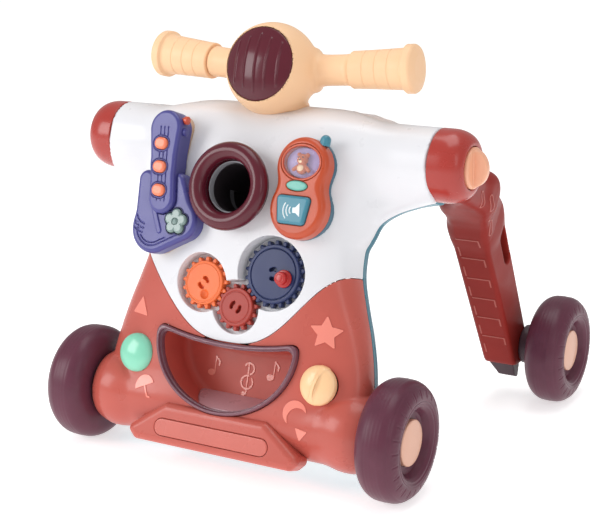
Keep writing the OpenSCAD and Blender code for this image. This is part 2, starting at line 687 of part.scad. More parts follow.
module phone_antenna() color("cadetblue") in_body() difference() {
    translate([86.4, 261, phone_n + 3]) rotate([-90, 0, -6]) {
        cylinder(r = 5.5, h = 6);
        translate([0, 0, 6]) sphere(r = 5.5);
    }
    translate([phone_x, 246, 30]) cylinder(r = 26.5 + gap / 3, h = 60);
}
module phone_window() color("lavender") on_body(window_at[0], window_at[1], phone_front - 2) difference() {
    intersection() {
        union() {
            cylinder(r = 19.4, h = 2);
            translate([0, 0, 2 - eps]) cap(19.4, 8);
        }
        linear_extrude(20) ellipse([0, 0], 19.2, 15.2);
    }
    translate([0, 0, -1]) linear_extrude(3 + eps) ellipse([0, 0], 17.4, 13.4);
    translate([0, 0, 2]) cap(16.5, 5.2);
}
// A little bear that stands behind the window.
module phone_bear() color("chocolate") on_body(window_at[0], window_at[1], phone_n + 7.7) {
    translate([0, 2.5, 0]) sphere(r = 5.5);
    for (s = [-1, 1]) translate([s * 4.4, 7, 0]) sphere(r = 2.2);
    translate([0, -6, -0.5]) sphere(r = 5);
}
module phone_light() color("aquamarine") on_body(0, 0, phone_n + 9.2)
    linear_extrude(4) ellipse(light_at, 11.5, 5);
module speaker_outline(g) offset(r = 5 + g) offset(delta = -5)
    polygon([[51, 214.5], [86, 214.5], [82.5, 190], [54.5, 190]]);
module phone_speaker_button() color("steelblue") on_body(0, 0, phone_n + 7.5)
    linear_extrude(8) speaker_outline(0);

front_upper_shell();
front_lower_shell();
back_cover();
mouth_rim();
tray_liner();
tray_floor();
ball_ring();
ball_chute();
gear_plate();
front_bumper();
bumper_plate();
front_axle();
shoulder_spindles();
battery_door();
speaker();
shell_screws();
headlight_housing();
headlight_lens();
grip(-1);  // left_grip
grip(1);  // right_grip
guitar_back();
guitar_body();
guitar_neck();
guitar_button(0);  // guitar_button_1
guitar_button(1);  // guitar_button_2
guitar_button(2);  // guitar_button_3
guitar_flower_button();
guitar_peg(0);  // guitar_peg_1
guitar_peg(1);  // guitar_peg_2
phone_back();
phone_shell();
phone_antenna();
phone_window();
phone_bear();
phone_light();
phone_speaker_button();
large_gear();
crank_knob();
medium_gear();
idler_gear();
green_button();
click_knob();
leg_shell(-1);  // left_leg_shell
leg_shell(1);  // right_leg_shell
shoulder_cap(-1);  // left_shoulder_cap
shoulder_cap(1);  // right_shoulder_cap
leg_foot(-1);  // left_leg_foot
leg_foot(1);  // right_leg_foot
lock_knob(-1);  // left_lock_knob
lock_knob(1);  // right_lock_knob
rear_axle(-1);  // left_rear_axle
rear_axle(1);  // right_rear_axle
a_tyre(-1, true);  // front_left_tyre
a_tyre(1, true);  // front_right_tyre
a_tyre(-1, false);  // rear_left_tyre
a_tyre(1, false);  // rear_right_tyre
a_hub_cap(-1, true);  // front_left_hub_cap
a_hub_cap(1, true);  // front_right_hub_cap
a_hub_cap(-1, false);  // rear_left_hub_cap
a_hub_cap(1, false);  // rear_right_hub_cap
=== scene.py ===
import json
import math

import bpy
import numpy as np
from mathutils import Matrix, Vector


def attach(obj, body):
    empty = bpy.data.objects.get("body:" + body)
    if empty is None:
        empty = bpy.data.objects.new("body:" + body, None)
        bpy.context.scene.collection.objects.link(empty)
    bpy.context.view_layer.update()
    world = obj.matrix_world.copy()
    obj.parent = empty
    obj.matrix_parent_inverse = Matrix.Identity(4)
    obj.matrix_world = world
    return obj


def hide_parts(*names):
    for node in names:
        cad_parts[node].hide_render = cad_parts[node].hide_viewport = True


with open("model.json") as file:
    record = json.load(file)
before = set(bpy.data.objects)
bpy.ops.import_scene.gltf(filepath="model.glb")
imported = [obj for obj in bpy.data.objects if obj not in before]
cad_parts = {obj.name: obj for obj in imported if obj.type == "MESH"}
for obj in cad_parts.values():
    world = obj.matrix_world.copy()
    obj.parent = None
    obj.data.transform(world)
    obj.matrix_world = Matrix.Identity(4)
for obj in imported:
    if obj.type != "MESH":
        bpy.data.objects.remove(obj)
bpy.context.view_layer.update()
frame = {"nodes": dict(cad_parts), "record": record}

# ================================================================ driving sizes, in mm
WHEEL_R = 60
WHEEL_HALF = 21
FRONT_X = 181.5
REAR_X = 216.5
HALF_BASE = 170
SHOULDER = (0, -85.5, 313)
LEAN = math.atan2(84.5, 253)          # how far the body leans back
ARM_U = math.hypot(84.5, 253)         # shoulder axis, up the body
ARM_R = 36
ARM_X = 184
HUB_X = 158
CAP_END = 218
WALL = 2.4
SIDES = ((1, "right"), (-1, "left"))
SEAM = 0.2                            # half of the gap between two mouldings


# ================================================================ frames of reference
def place(origin, across, along, out):
    """A 4x4 matrix, in mm, from a local frame to the row frame."""
    m = np.eye(4)
    m[:3, 0], m[:3, 1], m[:3, 2], m[:3, 3] = across, along, out, origin
    return m


S, C = math.sin(LEAN), math.cos(LEAN)
ROW = np.eye(4)
BODY = place((0, -HALF_BASE, WHEEL_R), (1, 0, 0), (0, S, C), (0, -C, S))
AT_SHOULDER = place(SHOULDER, (1, 0, 0), (0, 1, 0), (0, 0, 1))


def sideways(side, origin):
    """A local frame whose z axis points outwards on the given side."""
    return place(origin, (0, side, 0), (0, 0, 1), (side, 0, 0))


def on_body(x, u, n, turn=0, tilt=0):
    """A local frame on the panel: turn about the panel's normal, then tilt about its own x axis."""
    m = np.eye(4)
    m[:3, 3] = (x, u, n)
    spin = np.array(Matrix.Rotation(math.radians(turn), 4, "Z") @ Matrix.Rotation(math.radians(tilt), 4, "X"))
    return BODY @ m @ spin


# ================================================================ solid shapes as distance fields
def melt(a, b, r):
    """The union of two fields with a fillet of about r."""
    h = np.maximum(r - np.abs(a - b), 0) / r
    return np.minimum(a, b) - h * h * r / 4


def meet(a, b, r):
    """The intersection of two fields with a rounded edge."""
    return -melt(-a, -b, r)


def carve(a, b, r):
    """a without b, with a rounded edge."""
    return -melt(-a, b, r)


def disc(p, c, r):
    return np.hypot(p[:, 0] - c[0], p[:, 1] - c[1]) - r


def ball(p, c, r):
    return np.linalg.norm(p - np.array(c, float), axis=1) - r


def oval(p, c, a, b):
    """Nearly the distance to an ellipse."""
    x, y = p[:, 0] - c[0], p[:, 1] - c[1]
    k0 = np.hypot(x / a, y / b)
    k1 = np.hypot(x / a ** 2, y / b ** 2) + 1e-9
    return k0 * (k0 - 1) / k1


def stick(p, a, b, ra, rb=None):
    """The distance to the hull of two circles or two balls."""
    rb = ra if rb is None else rb
    a, b = np.array(a, float), np.array(b, float)
    pa, ba = p - a, b - a
    l2 = ba @ ba
    rr = ra - rb
    a2 = l2 - rr * rr
    y = pa @ ba
    z = y - l2
    x2 = ((pa * l2 - ba * y[:, None]) ** 2).sum(1)
    y2, z2 = y * y * l2, z * z * l2
    k = np.sign(rr) * rr * rr * x2
    far = np.sign(z) * a2 * z2 > k
    near = np.sign(y) * a2 * y2 < k
    side = (np.sqrt(x2 * a2 / l2) + y * rr) / l2 - ra
    return np.where(far, np.sqrt(x2 + z2) / l2 - rb, np.where(near, np.sqrt(x2 + y2) / l2 - ra, side))


def many(p, corners):
    """The distance to a closed polygon, negative inside."""
    v = np.array(corners, float)
    best = np.full(len(p), 1e18)
    inside = np.zeros(len(p), bool)
    for a, b in zip(v, np.roll(v, -1, 0)):
        e, w = b - a, p - a
        t = np.clip(w @ e / (e @ e), 0, 1)
        best = np.minimum(best, ((w - t[:, None] * e) ** 2).sum(1))
        crosses = (a[1] <= p[:, 1]) != (b[1] <= p[:, 1])
        if e[1] != 0:
            inside ^= crosses & (p[:, 0] < a[0] + (p[:, 1] - a[1]) * e[0] / e[1])
    return np.where(inside, -1, 1) * np.sqrt(best)


def path(p, points, r):
    """The distance to a round-ended line through some points."""
    return np.min([stick(p, a, b, r) for a, b in zip(points, points[1:])], axis=0)


def arc(c, r, start, end, steps=8):
    return [(c[0] + r * math.cos(math.radians(start + (end - start) * i / steps)),
             c[1] + r * math.sin(math.radians(start + (end - start) * i / steps))) for i in range(steps + 1)]


def plate(d, z, low, high, r):
    """A flat field d thickened from low to high, with edges rounded by r."""
    a, b = d + r, np.abs(z - (low + high) / 2) - (high - low) / 2 + r
    return np.minimum(np.maximum(a, b), 0) + np.hypot(np.maximum(a, 0), np.maximum(b, 0)) - r


def grown(field, by):
    """The same field with its surface moved outwards."""
    def out(p):
        return field(p) - by
    return out


def flat(outline, low, high, edge):
    """A field of a flat outline thickened from low to high, with edges rounded by edge."""
    def field(p):
        return plate(outline(p[:, :2]), p[:, 2], low, high, edge)
    return field


# ================================================================ meshes from fields
def slope(field, points, h=0.04):
    g = np.empty_like(points)
    for k in range(3):
        step = np.zeros(3)
        step[k] = h
        g[:, k] = (field(points + step) - field(points - step)) / (2 * h)
    return g


def settle(points, field, rounds=3, reach=1.5):
    """Points moved straight onto the zero level of a field."""
    for _ in range(rounds):
        g = slope(field, points)
        move = -(field(points) / np.maximum((g * g).sum(1), 1e-6))[:, None] * g
        length = np.linalg.norm(move, axis=1, keepdims=True)
        points = points + move * np.minimum(1, reach / np.maximum(length, 1e-9))
    return points


def unit(v):
    return v / np.maximum(np.linalg.norm(v, axis=-1, keepdims=True), 1e-12)


def skin(field, low, high, step):
    """A mesh of quads along the zero level of a field."""
    low, high = np.array(low, float), np.array(high, float)
    count = np.ceil((high - low) / step).astype(int) + 1
    axes = [low[k] + step * np.arange(count[k]) for k in range(3)]
    grid = np.stack(np.meshgrid(*axes, indexing="ij"), -1).reshape(-1, 3)
    value = np.concatenate([field(part) for part in np.array_split(grid, len(grid) // 400000 + 1)])
    value = value.reshape(count)
    inside = value < 0
    cells = count - 1
    total, hits = np.zeros((cells.prod(), 3)), np.zeros(cells.prod())
    quads = []
    for axis in range(3):
        first, second = [k for k in range(3) if k != axis]
        stop = count[axis] - 1
        edge = np.argwhere(np.take(inside, range(stop), axis) != np.take(inside, range(1, stop + 1), axis))
        after = edge.copy()
        after[:, axis] += 1
        va, vb = value[tuple(edge.T)], value[tuple(after.T)]
        cross = edge.astype(float)
        cross[:, axis] += va / (va - vb)
        corners, whole = [], np.ones(len(edge), bool)
        for d0, d1 in ((0, 0), (-1, 0), (-1, -1), (0, -1)):
            cell = edge.copy()
            cell[:, first] += d0
            cell[:, second] += d1
            good = ((cell >= 0) & (cell < cells)).all(1)
            whole &= good
            flat = np.ravel_multi_index(np.clip(cell, 0, cells - 1).T, cells)
            for k in range(3):
                total[:, k] += np.bincount(flat[good], cross[good, k], len(total))
            hits += np.bincount(flat[good], minlength=len(hits))
            corners.append(flat)
        quad = np.stack(corners, 1)[whole]
        back = ~inside[tuple(edge[whole].T)] ^ (axis == 1)
        quad[back] = quad[back][:, ::-1]
        quads.append(quad)
    quads = np.concatenate(quads)
    used, faces = np.unique(quads, return_inverse=True)
    points = low + step * total[used] / hits[used][:, None]
    points = settle(points, field, 3, step * 0.5)
    return points, faces.reshape(-1, 4)


def triangles(mesh):
    points, faces = mesh
    return points, np.concatenate([faces[:, [0, 1, 2]], faces[:, [0, 2, 3]]])


def refine(mesh, near, field, size, rounds=3):
    """Triangles halved, and kept on the field, until they are small beside the border near = 0."""
    points, tris = mesh
    for _ in range(rounds):
        a, b = tris, np.roll(tris, -1, 1)
        length = np.linalg.norm(points[a] - points[b], axis=2)
        middle = (points[a] + points[b]) / 2
        close = np.abs(near(middle.reshape(-1, 3)).reshape(length.shape)) < length * 1.2
        code = np.minimum(a, b).astype(np.int64) * len(points) + np.maximum(a, b)
        codes = np.unique(code[(length > size) & close])
        if len(codes) == 0:
            break
        flagged = np.isin(code, codes)
        m = len(points) + np.searchsorted(codes, code)
        fresh = (points[codes // len(points)] + points[codes % len(points)]) / 2
        points = np.concatenate([points, settle(fresh, field, 2, size)])
        number = flagged.sum(1)
        out = [tris[number == 0]]
        t, e = tris[number == 3], m[number == 3]
        out += [np.stack(q, 1) for q in ((t[:, 0], e[:, 0], e[:, 2]), (e[:, 0], t[:, 1], e[:, 1]),
                                         (e[:, 2], e[:, 1], t[:, 2]), (e[:, 0], e[:, 1], e[:, 2]))]
        for k in range(3):
            one = (number == 1) & flagged[:, k]
            t, e = np.roll(tris[one], -k, 1), np.roll(m[one], -k, 1)
            out += [np.stack(q, 1) for q in ((t[:, 0], e[:, 0], t[:, 2]), (e[:, 0], t[:, 1], t[:, 2]))]
            two = (number == 2) & ~flagged[:, k]
            t, e = np.roll(tris[two], -k - 1, 1), np.roll(m[two], -k - 1, 1)
            out += [np.stack(q, 1) for q in ((e[:, 0], t[:, 1], e[:, 1]), (t[:, 0], e[:, 0], e[:, 1]),
                                             (t[:, 0], e[:, 1], t[:, 2]))]
        tris = np.concatenate(out)
    return points, tris


def clip(mesh, keep, field, size=1.0):
    """The part of a mesh on a field where keep is above 0, with its border on both levels."""
    points, tris = refine(mesh, keep, field, size)
    value = keep(points)
    close = np.abs(value) < size * 0.3
    moved = points[close]
    for _ in range(2):
        g = slope(keep, moved)
        moved = settle(moved - (keep(moved) / np.maximum((g * g).sum(1), 1e-6))[:, None] * g, field, 1, size)
    small = np.linalg.norm(moved - points[close], axis=1) < size * 0.6
    snapped = np.flatnonzero(close)[small]
    points[snapped] = moved[small]
    value[snapped] = 0
    sign = np.sign(value)[tris]
    middle = keep(points[tris].mean(1))
    whole = (sign.min(1) >= 0) & ((sign.max(1) > 0) | (middle > 0))
    mixed = (sign.min(1) < 0) & (sign.max(1) > 0)
    fresh, made, parts = {}, [], []
    for tri in tris[mixed]:
        loop = []
        for a, b in zip(tri, np.roll(tri, -1)):
            if value[a] >= 0:
                loop.append(a)
            if value[a] * value[b] < 0:
                key = (min(a, b), max(a, b))
                if key not in fresh:
                    fresh[key] = len(points) + len(made)
                    t = value[a] / (value[a] - value[b])
                    made.append(points[a] * (1 - t) + points[b] * t)
                loop.append(fresh[key])
        parts += [(loop[0], loop[i], loop[i + 1]) for i in range(1, len(loop) - 1)]
    if made:
        made = np.array(made)
        for _ in range(2):
            g = slope(keep, made)
            made = settle(made - (keep(made) / np.maximum((g * g).sum(1), 1e-6))[:, None] * g, field, 1, size)
        points = np.concatenate([points, made])
    tris = np.concatenate([tris[whole], np.array(parts, int).reshape(-1, 3)])
    used, tris = np.unique(tris, return_inverse=True)
    return points[used], tris.reshape(-1, 3)


def shell(mesh, field, fillet=0.8, reach=None, wall=WALL):
    """A clipped skin made into a closed wall: a rounded edge, the edge's depth and the inside."""
    points, tris = mesh
    normal = unit(slope(field, points))
    count = len(points)
    a, b = tris.reshape(-1), np.roll(tris, -1, 1).reshape(-1)
    code = a.astype(np.int64) * count + b
    lone = ~np.isin(code, b.astype(np.int64) * count + a)
    a, b = a[lone], b[lone]
    outward = np.zeros((count, 3))
    side = unit(np.cross(points[b] - points[a], normal[a] + normal[b]))
    np.add.at(outward, a, side)
    np.add.at(outward, b, side)
    rim = np.unique(np.concatenate([a, b]))
    row = {v: i for i, v in enumerate(rim)}
    ra, rb = np.array([row[v] for v in a]), np.array([row[v] for v in b])
    p, n = points[rim], normal[rim]
    t = unit(outward[rim])
    rows, shades = [], []
    for angle in (30, 60, 90):
        s, c = math.sin(math.radians(angle)), math.cos(math.radians(angle))
        rows.append(p + fillet * (s * t - (1 - c) * n))
        shades.append(unit(c * n + s * t))
    rows.append(reach(rows[-1], n) if reach else rows[-1] - (wall - fillet) * n)
    shades.append(t)
    inner = points - wall * normal
    every = np.concatenate([points, *rows, inner])
    shade = np.concatenate([normal, *shades, -normal])
    size = len(rim)
    faces = [list(f) for f in tris]
    last_a, last_b = a, b
    for k in range(4):
        na, nb = count + k * size + ra, count + k * size + rb
        faces += [list(f) for f in np.stack([last_b, last_a, na, nb], 1)]
        last_a, last_b = na, nb
    start = count + 4 * size
    faces += [list(f) for f in np.stack([last_b, last_a, start + a, start + b], 1)]
    faces += [list(f) for f in start + tris[:, ::-1]]
    return every, faces, shade


# ================================================================ meshes by turning and bending
def rounded(corners, radii, steps=4):
    """A line through corners, each rounded by its radius. A single radius serves them all."""
    radii = [radii] * len(corners) if np.isscalar(radii) else radii
    out = [corners[0]]
    for a, b, c, r in zip(corners, corners[1:], corners[2:], radii[1:]):
        a, b, c = np.array(a, float), np.array(b, float), np.array(c, float)
        u, v = unit(a - b), unit(c - b)
        half = math.acos(max(-1, min(1, float(u @ v)))) / 2
        if r == 0 or half > 1.5:
            out.append(tuple(b))
            continue
        d = min(r / math.tan(half), 0.48 * np.linalg.norm(a - b), 0.48 * np.linalg.norm(c - b))
        centre = b + unit(u + v) * d / math.cos(half)
        p, q = b + u * d - centre, b + v * d - centre
        angle = math.atan2(p[0] * q[1] - p[1] * q[0], p @ q)
        for i in range(steps + 1):
            s, k = math.sin(angle * i / steps), math.cos(angle * i / steps)
            out.append(tuple(centre + np.array([p[0] * k - p[1] * s, p[0] * s + p[1] * k])))
    return out + [corners[-1]]


def dense(line, size):
    """The same line with no stretch longer than size."""
    out = [line[0]]
    for a, b in zip(line, line[1:]):
        n = max(1, int(math.ceil(math.dist(a, b) / size)))
        out += [(a[0] + (b[0] - a[0]) * i / n, a[1] + (b[1] - a[1]) * i / n) for i in range(1, n + 1)]
    return out


def turned(line, turns=96):
    """A line of (radius, height) turned about z. Ends on the axis are closed to a point."""
    rings, points, faces = [], [], []
    for r, z in line:
        if r < 1e-6:
            rings.append([len(points)] * turns)
            points.append((0, 0, z))
        else:
            rings.append(list(range(len(points), len(points) + turns)))
            points += [(r * math.cos(2 * math.pi * i / turns), r * math.sin(2 * math.pi * i / turns), z)
                       for i in range(turns)]
    for one, two in zip(rings, rings[1:]):
        for i in range(turns):
            j = (i + 1) % turns
            face = [one[i], one[j], two[j], two[i]]
            faces.append([v for k, v in enumerate(face) if v != face[k - 1]])
    return np.array(points, float), [f for f in faces if len(f) > 2]


def ring_line(points):
    """A closed (radius, height) outline, for a ring that never meets the axis."""
    return list(points) + [points[0]]


# ================================================================ finishes
def linear(rgb):
    return [(c / 255 / 12.92 if c <= 10 else ((c / 255 + 0.055) / 1.055) ** 2.4) for c in rgb]


def plastic(name, rgb, rough=0.3, variation=0.05, grain=0.04, mottle=28, coat=0.0,
            alpha=1.0, metal=0.0, glow=0.0, shine=0.5):
    """Moulded plastic: cloudy colour, uneven gloss with handling marks, and a fine moulded grain."""
    m = bpy.data.materials.new(name)
    m.use_nodes = True
    nodes, links = m.node_tree.nodes, m.node_tree.links
    shader = nodes["Principled BSDF"]
    where = nodes.new("ShaderNodeTexCoord")

    def noise(scale, detail, distortion=0.0):
        n = nodes.new("ShaderNodeTexNoise")
        n.inputs["Scale"].default_value = scale
        n.inputs["Detail"].default_value = detail
        n.inputs["Distortion"].default_value = distortion
        links.new(where.outputs["Object"], n.inputs["Vector"])
        return n

    colour = linear(rgb)
    ramp = nodes.new("ShaderNodeValToRGB")
    ramp.color_ramp.elements[0].position = 0.3
    ramp.color_ramp.elements[1].position = 0.72
    ramp.color_ramp.elements[0].color = [c * (1 - variation) for c in colour] + [1]
    ramp.color_ramp.elements[1].color = [min(1, c * (1 + variation)) for c in colour] + [1]
    links.new(noise(mottle, 3, 0.4).outputs["Fac"], ramp.inputs["Fac"])
    links.new(ramp.outputs["Color"], shader.inputs["Base Color"])
    gloss = nodes.new("ShaderNodeMapRange")
    gloss.inputs["From Min"].default_value = 0.35
    gloss.inputs["From Max"].default_value = 0.7
    gloss.inputs["To Min"].default_value = max(0.02, rough * 0.9)
    gloss.inputs["To Max"].default_value = min(1, rough * 1.12)
    links.new(noise(40, 4, 0.3).outputs["Fac"], gloss.inputs["Value"])
    links.new(gloss.outputs["Result"], shader.inputs["Roughness"])
    bump = nodes.new("ShaderNodeBump")
    bump.inputs["Strength"].default_value = grain
    bump.inputs["Distance"].default_value = 0.0006
    links.new(noise(700, 2).outputs["Fac"], bump.inputs["Height"])
    links.new(bump.outputs["Normal"], shader.inputs["Normal"])
    shader.inputs["Metallic"].default_value = metal
    shader.inputs["Coat Weight"].default_value = coat
    shader.inputs["Coat Roughness"].default_value = 0.08
    shader.inputs["Alpha"].default_value = alpha
    shader.inputs["Specular IOR Level"].default_value = shine
    shader.inputs["IOR"].default_value = 1.46
    if alpha == 1 and metal == 0:
        shader.inputs["Subsurface Weight"].default_value = glow
        shader.inputs["Subsurface Radius"].default_value = (0.004, 0.003, 0.002)
    m.diffuse_color = (*colour, 1)
    return m


FINISH = {
    "white_plastic": plastic("white_gloss", (230, 230, 234), 0.3, 0.01, 0.01, coat=0.1),
    "red_plastic": plastic("brick_gloss", (193, 92, 80), 0.3, 0.03, 0.015, coat=0.12, shine=0.4),
    "leg_plastic": plastic("leg_brick", (144, 44, 38), 0.4, 0.05, 0.04, shine=0.1),
    "teal_plastic": plastic("teal_gloss", (62, 124, 142), 0.3, 0.05, 0.04, coat=0.15),
    "mauve_plastic": plastic("rim_mauve", (120, 76, 88), 0.24, 0.05, 0.03, coat=0.2),
    "tray_plastic": plastic("tray_brick", (206, 98, 86), 0.36, 0.05, 0.04, shine=0.35),
    "maroon_plastic": plastic("maroon_gloss", (90, 26, 40), 0.24, 0.06, 0.03, coat=0.2, shine=0.35),
    "dark_plastic": plastic("dark_inside", (48, 42, 46), 0.45, 0.08, 0.08),
    "peach_plastic": plastic("peach_gloss", (252, 207, 164), 0.42, 0.012, 0.02, shine=0.35, glow=0.05),
    "hub_plastic": plastic("hub_peach", (226, 172, 146), 0.34, 0.03, 0.05, coat=0.1),
    "tyre_plastic": plastic("tyre_maroon", (98, 52, 68), 0.34, 0.06, 0.08, mottle=60, shine=0.3),
    "violet_plastic": plastic("violet_gloss", (74, 72, 140), 0.3, 0.04, 0.03, coat=0.1),
    "coral_plastic": plastic("coral_gloss", (246, 132, 96), 0.26, 0.04, 0.03, coat=0.2, glow=0.05),
    "cream_plastic": plastic("cream_satin", (188, 158, 132), 0.36, 0.05, 0.05),
    "flower_plastic": plastic("flower_clear", (120, 142, 138), 0.12, 0.08, 0.02, mottle=120, coat=0.5),
    "orange_plastic": plastic("orange_gloss", (190, 76, 42), 0.3, 0.04, 0.03, coat=0.1),
    "blue_plastic": plastic("button_teal", (66, 132, 152), 0.3, 0.04, 0.03, coat=0.1),
    "mint_plastic": plastic("mint_gloss", (138, 216, 186), 0.22, 0.03, 0.02, coat=0.3, glow=0.08),
    "deep_teal_plastic": plastic("deep_teal", (52, 96, 116), 0.32, 0.05, 0.04, coat=0.15),
    "window_plastic": plastic("window_clear", (244, 242, 250), 0.03, 0.01, 0.0, alpha=0.07, coat=0.5),
    "bear_plastic": plastic("bear_brown", (190, 96, 44), 0.42, 0.06, 0.06),
    "navy_plastic": plastic("gear_navy", (42, 52, 94), 0.34, 0.05, 0.03, coat=0.05, shine=0.35),
    "gear_orange_plastic": plastic("gear_orange", (238, 116, 62), 0.34, 0.04, 0.03, coat=0.05, shine=0.35,
                                   glow=0.04),
    "gear_red_plastic": plastic("gear_brick", (166, 56, 46), 0.34, 0.05, 0.03, coat=0.05, shine=0.35),
    "crank_plastic": plastic("crank_red", (180, 40, 38), 0.26, 0.05, 0.02, coat=0.15),
    "steel": plastic("steel_rod", (176, 178, 182), 0.32, 0.06, 0.12, metal=1.0),
    "foot_plastic": plastic("foot_dark", (74, 52, 60), 0.42, 0.08, 0.1),
}
# painted highlight: the leg's raised lines are coloured lighter than the leg, standing in for the light that
# catches them
RIDGE_HIGHLIGHT_RED = plastic("ridge_painted_highlight", (176, 84, 74), 0.36, 0.04, 0.02, shine=0.4)
MINT_SOFT = plastic("mint_soft", (112, 186, 172), 0.3, 0.03, 0.02, coat=0.1)
MARK_RED = plastic("mark_rose", (240, 140, 124), 0.2, 0.03, 0.02, coat=0.3)
MARK_WHITE = plastic("mark_white", (236, 244, 246), 0.3, 0.02, 0.02)
LILAC = plastic("card_lilac", (176, 160, 214), 0.5, 0.08, 0.03, mottle=180)
DARK_LINE = plastic("line_dark", (44, 46, 92), 0.35, 0.05, 0.03)
CAP_RED = plastic("cap_brick", (172, 56, 48), 0.26, 0.04, 0.02, coat=0.15)
PEG_RED = plastic("peg_red", (206, 82, 58), 0.26, 0.05, 0.03, coat=0.2)
DOME_PEACH = plastic("dome_peach", (253, 206, 156), 0.3, 0.02, 0.03, coat=0.15, glow=0.04)
KNOB_SALMON = plastic("knob_salmon", (242, 176, 142), 0.3, 0.03, 0.03, coat=0.1)
TRAY_MAUVE = plastic("tray_mauve", (206, 160, 168), 0.3, 0.05, 0.04, coat=0.15)
# painted shade: grey stands in for the shade on the white shell's tube inside the ball hole
SLEEVE_SHADE_GREY = plastic("sleeve_painted_shade", (150, 150, 156), 0.35, 0.05, 0.04)
PLATE_ROSE = plastic("plate_rose", (206, 106, 94), 0.28, 0.04, 0.03, coat=0.2)
CREAM = plastic("muzzle_cream", (244, 214, 176), 0.45, 0.04, 0.04)

NODE_BODY = {n: b for b, members in frame["record"]["behaviour"]["bodies"].items() for n in members}
NODE_SLOT = {part["node"]: part["material_slot"] for part in frame["record"]["subparts"]}


def piece(name, mesh, node, where=BODY, stands=True, finish=None, sharp=35):
    """A visual piece from a mesh in mm. It rides node's body and, unless only a detail, stands for node."""
    points, faces = mesh[0], mesh[1]
    shade = mesh[2] if len(mesh) > 2 else None
    if isinstance(faces, np.ndarray):
        faces = faces.tolist()
    points = points @ where[:3, :3].T + where[:3, 3]
    if np.linalg.det(where[:3, :3]) < 0:
        faces = [f[::-1] for f in faces]
    data = bpy.data.meshes.new(name)
    data.from_pydata((points * 0.001).tolist(), [], faces)
    data.polygons.foreach_set("use_smooth", [True] * len(data.polygons))
    data.update()
    if shade is not None:
        data.normals_split_custom_set_from_vertices((shade @ where[:3, :3].T).tolist())
    elif sharp:
        data.set_sharp_from_angle(angle=math.radians(sharp))
    obj = bpy.data.objects.new(name, data)
    bpy.context.scene.collection.objects.link(obj)
    data.materials.append(finish or FINISH[NODE_SLOT[node]])
    if stands:
        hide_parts(node)
    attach(obj, NODE_BODY[node])
    return obj


def pair(mesh, name, node, where=ROW, finish=None):
    """The right-hand piece and its mirror image on the left. {} in the names is the side."""
    piece(name.format("right"), mesh, node.format("right"), where, finish=finish)
    faces = [list(f)[::-1] for f in mesh[1]]
    flipped = (mesh[0] * [-1, 1, 1], faces) + tuple(m * [-1, 1, 1] for m in mesh[2:])
    piece(name.format("left"), flipped, node.format("left"), where, finish=finish)


def shaded(field, low, high, step):
    """A skin with the field's own normals."""
    points, faces = skin(field, low, high, step)
    return points, faces, unit(slope(field, points, 0.12))


# ================================================================ body: the two front shells and the back cover
# Stations up the body: height, half width, depth of the front, depth of the back
TORSO = np.array([[-34, 146, 24, 22], [-12, 152, 36, 30], [30, 152, 38, 32], [62, 147, 39, 32],
                  [92, 139, 43, 31], [120, 129, 48, 30], [150, 120, 52, 30], [178, 119, 55, 30], [204, 123, 56, 30],
                  [228, 128, 56, 30], [252, 128, 53, 31], [276, 132, 46, 30], [296, 121, 33, 20],
                  [304, 104, 21, 10], [311, 80, 8, 3], [313, 70, 1, 1]], float)
YOKE = np.array([[186, 121, 27, 26], [204, 132, 27, 26], [216, 149, 24, 24], [228, 172, 18, 18],
                 [242, 184, 22, 22]], float)
SECTION = 3.2


def between(u, knots, values):
    """A smooth curve through values at knots."""
    tangent = np.gradient(values, knots)
    i = np.clip(np.searchsorted(knots, u) - 1, 0, len(knots) - 2)
    h = knots[i + 1] - knots[i]
    t = np.clip((u - knots[i]) / h, 0, 1)
    return ((2 * t ** 3 - 3 * t ** 2 + 1) * values[i] + (t ** 3 - 2 * t ** 2 + t) * h * tangent[i]
            + (3 * t ** 2 - 2 * t ** 3) * values[i + 1] + (t ** 3 - t ** 2) * h * tangent[i + 1])


def slab(x, u, n, stations):
    """Nearly the distance to a loft of rounded sections."""
    knots, squares = stations[:, 0], stations[:, 1:] ** 2
    w = np.sqrt(np.maximum(between(u, knots, squares[:, 0]), 4))
    front, back = between(u, knots, squares[:, 1]), between(u, knots, squares[:, 2])
    d = np.sqrt(np.maximum(np.where(n > 0, front, back), 0.8))
    a, b = x / w, np.abs(n) / d
    g = np.maximum((a ** SECTION + b ** SECTION) ** (1 / SECTION), 1e-4)
    grade = np.hypot((a / g) ** (SECTION - 1) / w, (b / g) ** (SECTION - 1) / d)
    return np.clip((g - 1) / np.maximum(grade, 1e-9), -60, 60)


def moulding(p):
    x, u, n = np.abs(p[:, 0]), p[:, 1], p[:, 2]
    torso = meet(meet(slab(x, u, n, TORSO), -34 - u, 12), u - 310.6, 5)
    yoke = meet(meet(slab(x, u, n, YOKE), 186 - u, 8), u - 244, 8)
    arm = meet(np.hypot(u - ARM_U, n) - ARM_R, x - ARM_X, 1.5)
    around = np.hypot(u, n)
    swell = melt(np.sqrt((x - 136) ** 2 + around ** 2) - 40.6, np.maximum(around - 37, x - 140), 6)
    hub = meet(swell, x - HUB_X, 3)
    return melt(melt(melt(torso, yoke, 14), arm, 22), hub, 1.6)


def bib(x):
    """The border between the upper and the lower front shell: its height at x."""
    t = np.minimum(1, np.abs(x) / 125)
    return 66 + 82 * t ** 3 * (4 - 3 * t)


def bib_side(p):
    """Nearly the distance above that border."""
    x = p[:, 0]
    grade = (bib(x + 0.5) - bib(x - 0.5))
    return (p[:, 1] - bib(x)) / np.hypot(1, grade)


def mouth(p):
    """The distance to the mouth's outline: an ellipse under a sagging upper edge."""
    x, u = p[:, 0], p[:, 1]
    top = (u - 65 - 9 * (x / 75) ** 2) / np.hypot(1, 18 * x / 75 ** 2)
    return meet(oval(p, (0, 66), 82, 73), top, 11)


# ---- gears: teeth, place and turn, worked out as in a real train
MODULE = 2.85
IDLER, LARGE, MEDIUM = 15, 22, 17
IDLER_AT = np.array([7.0, 102.0])


def pitch_r(teeth):
    return MODULE * teeth / 2


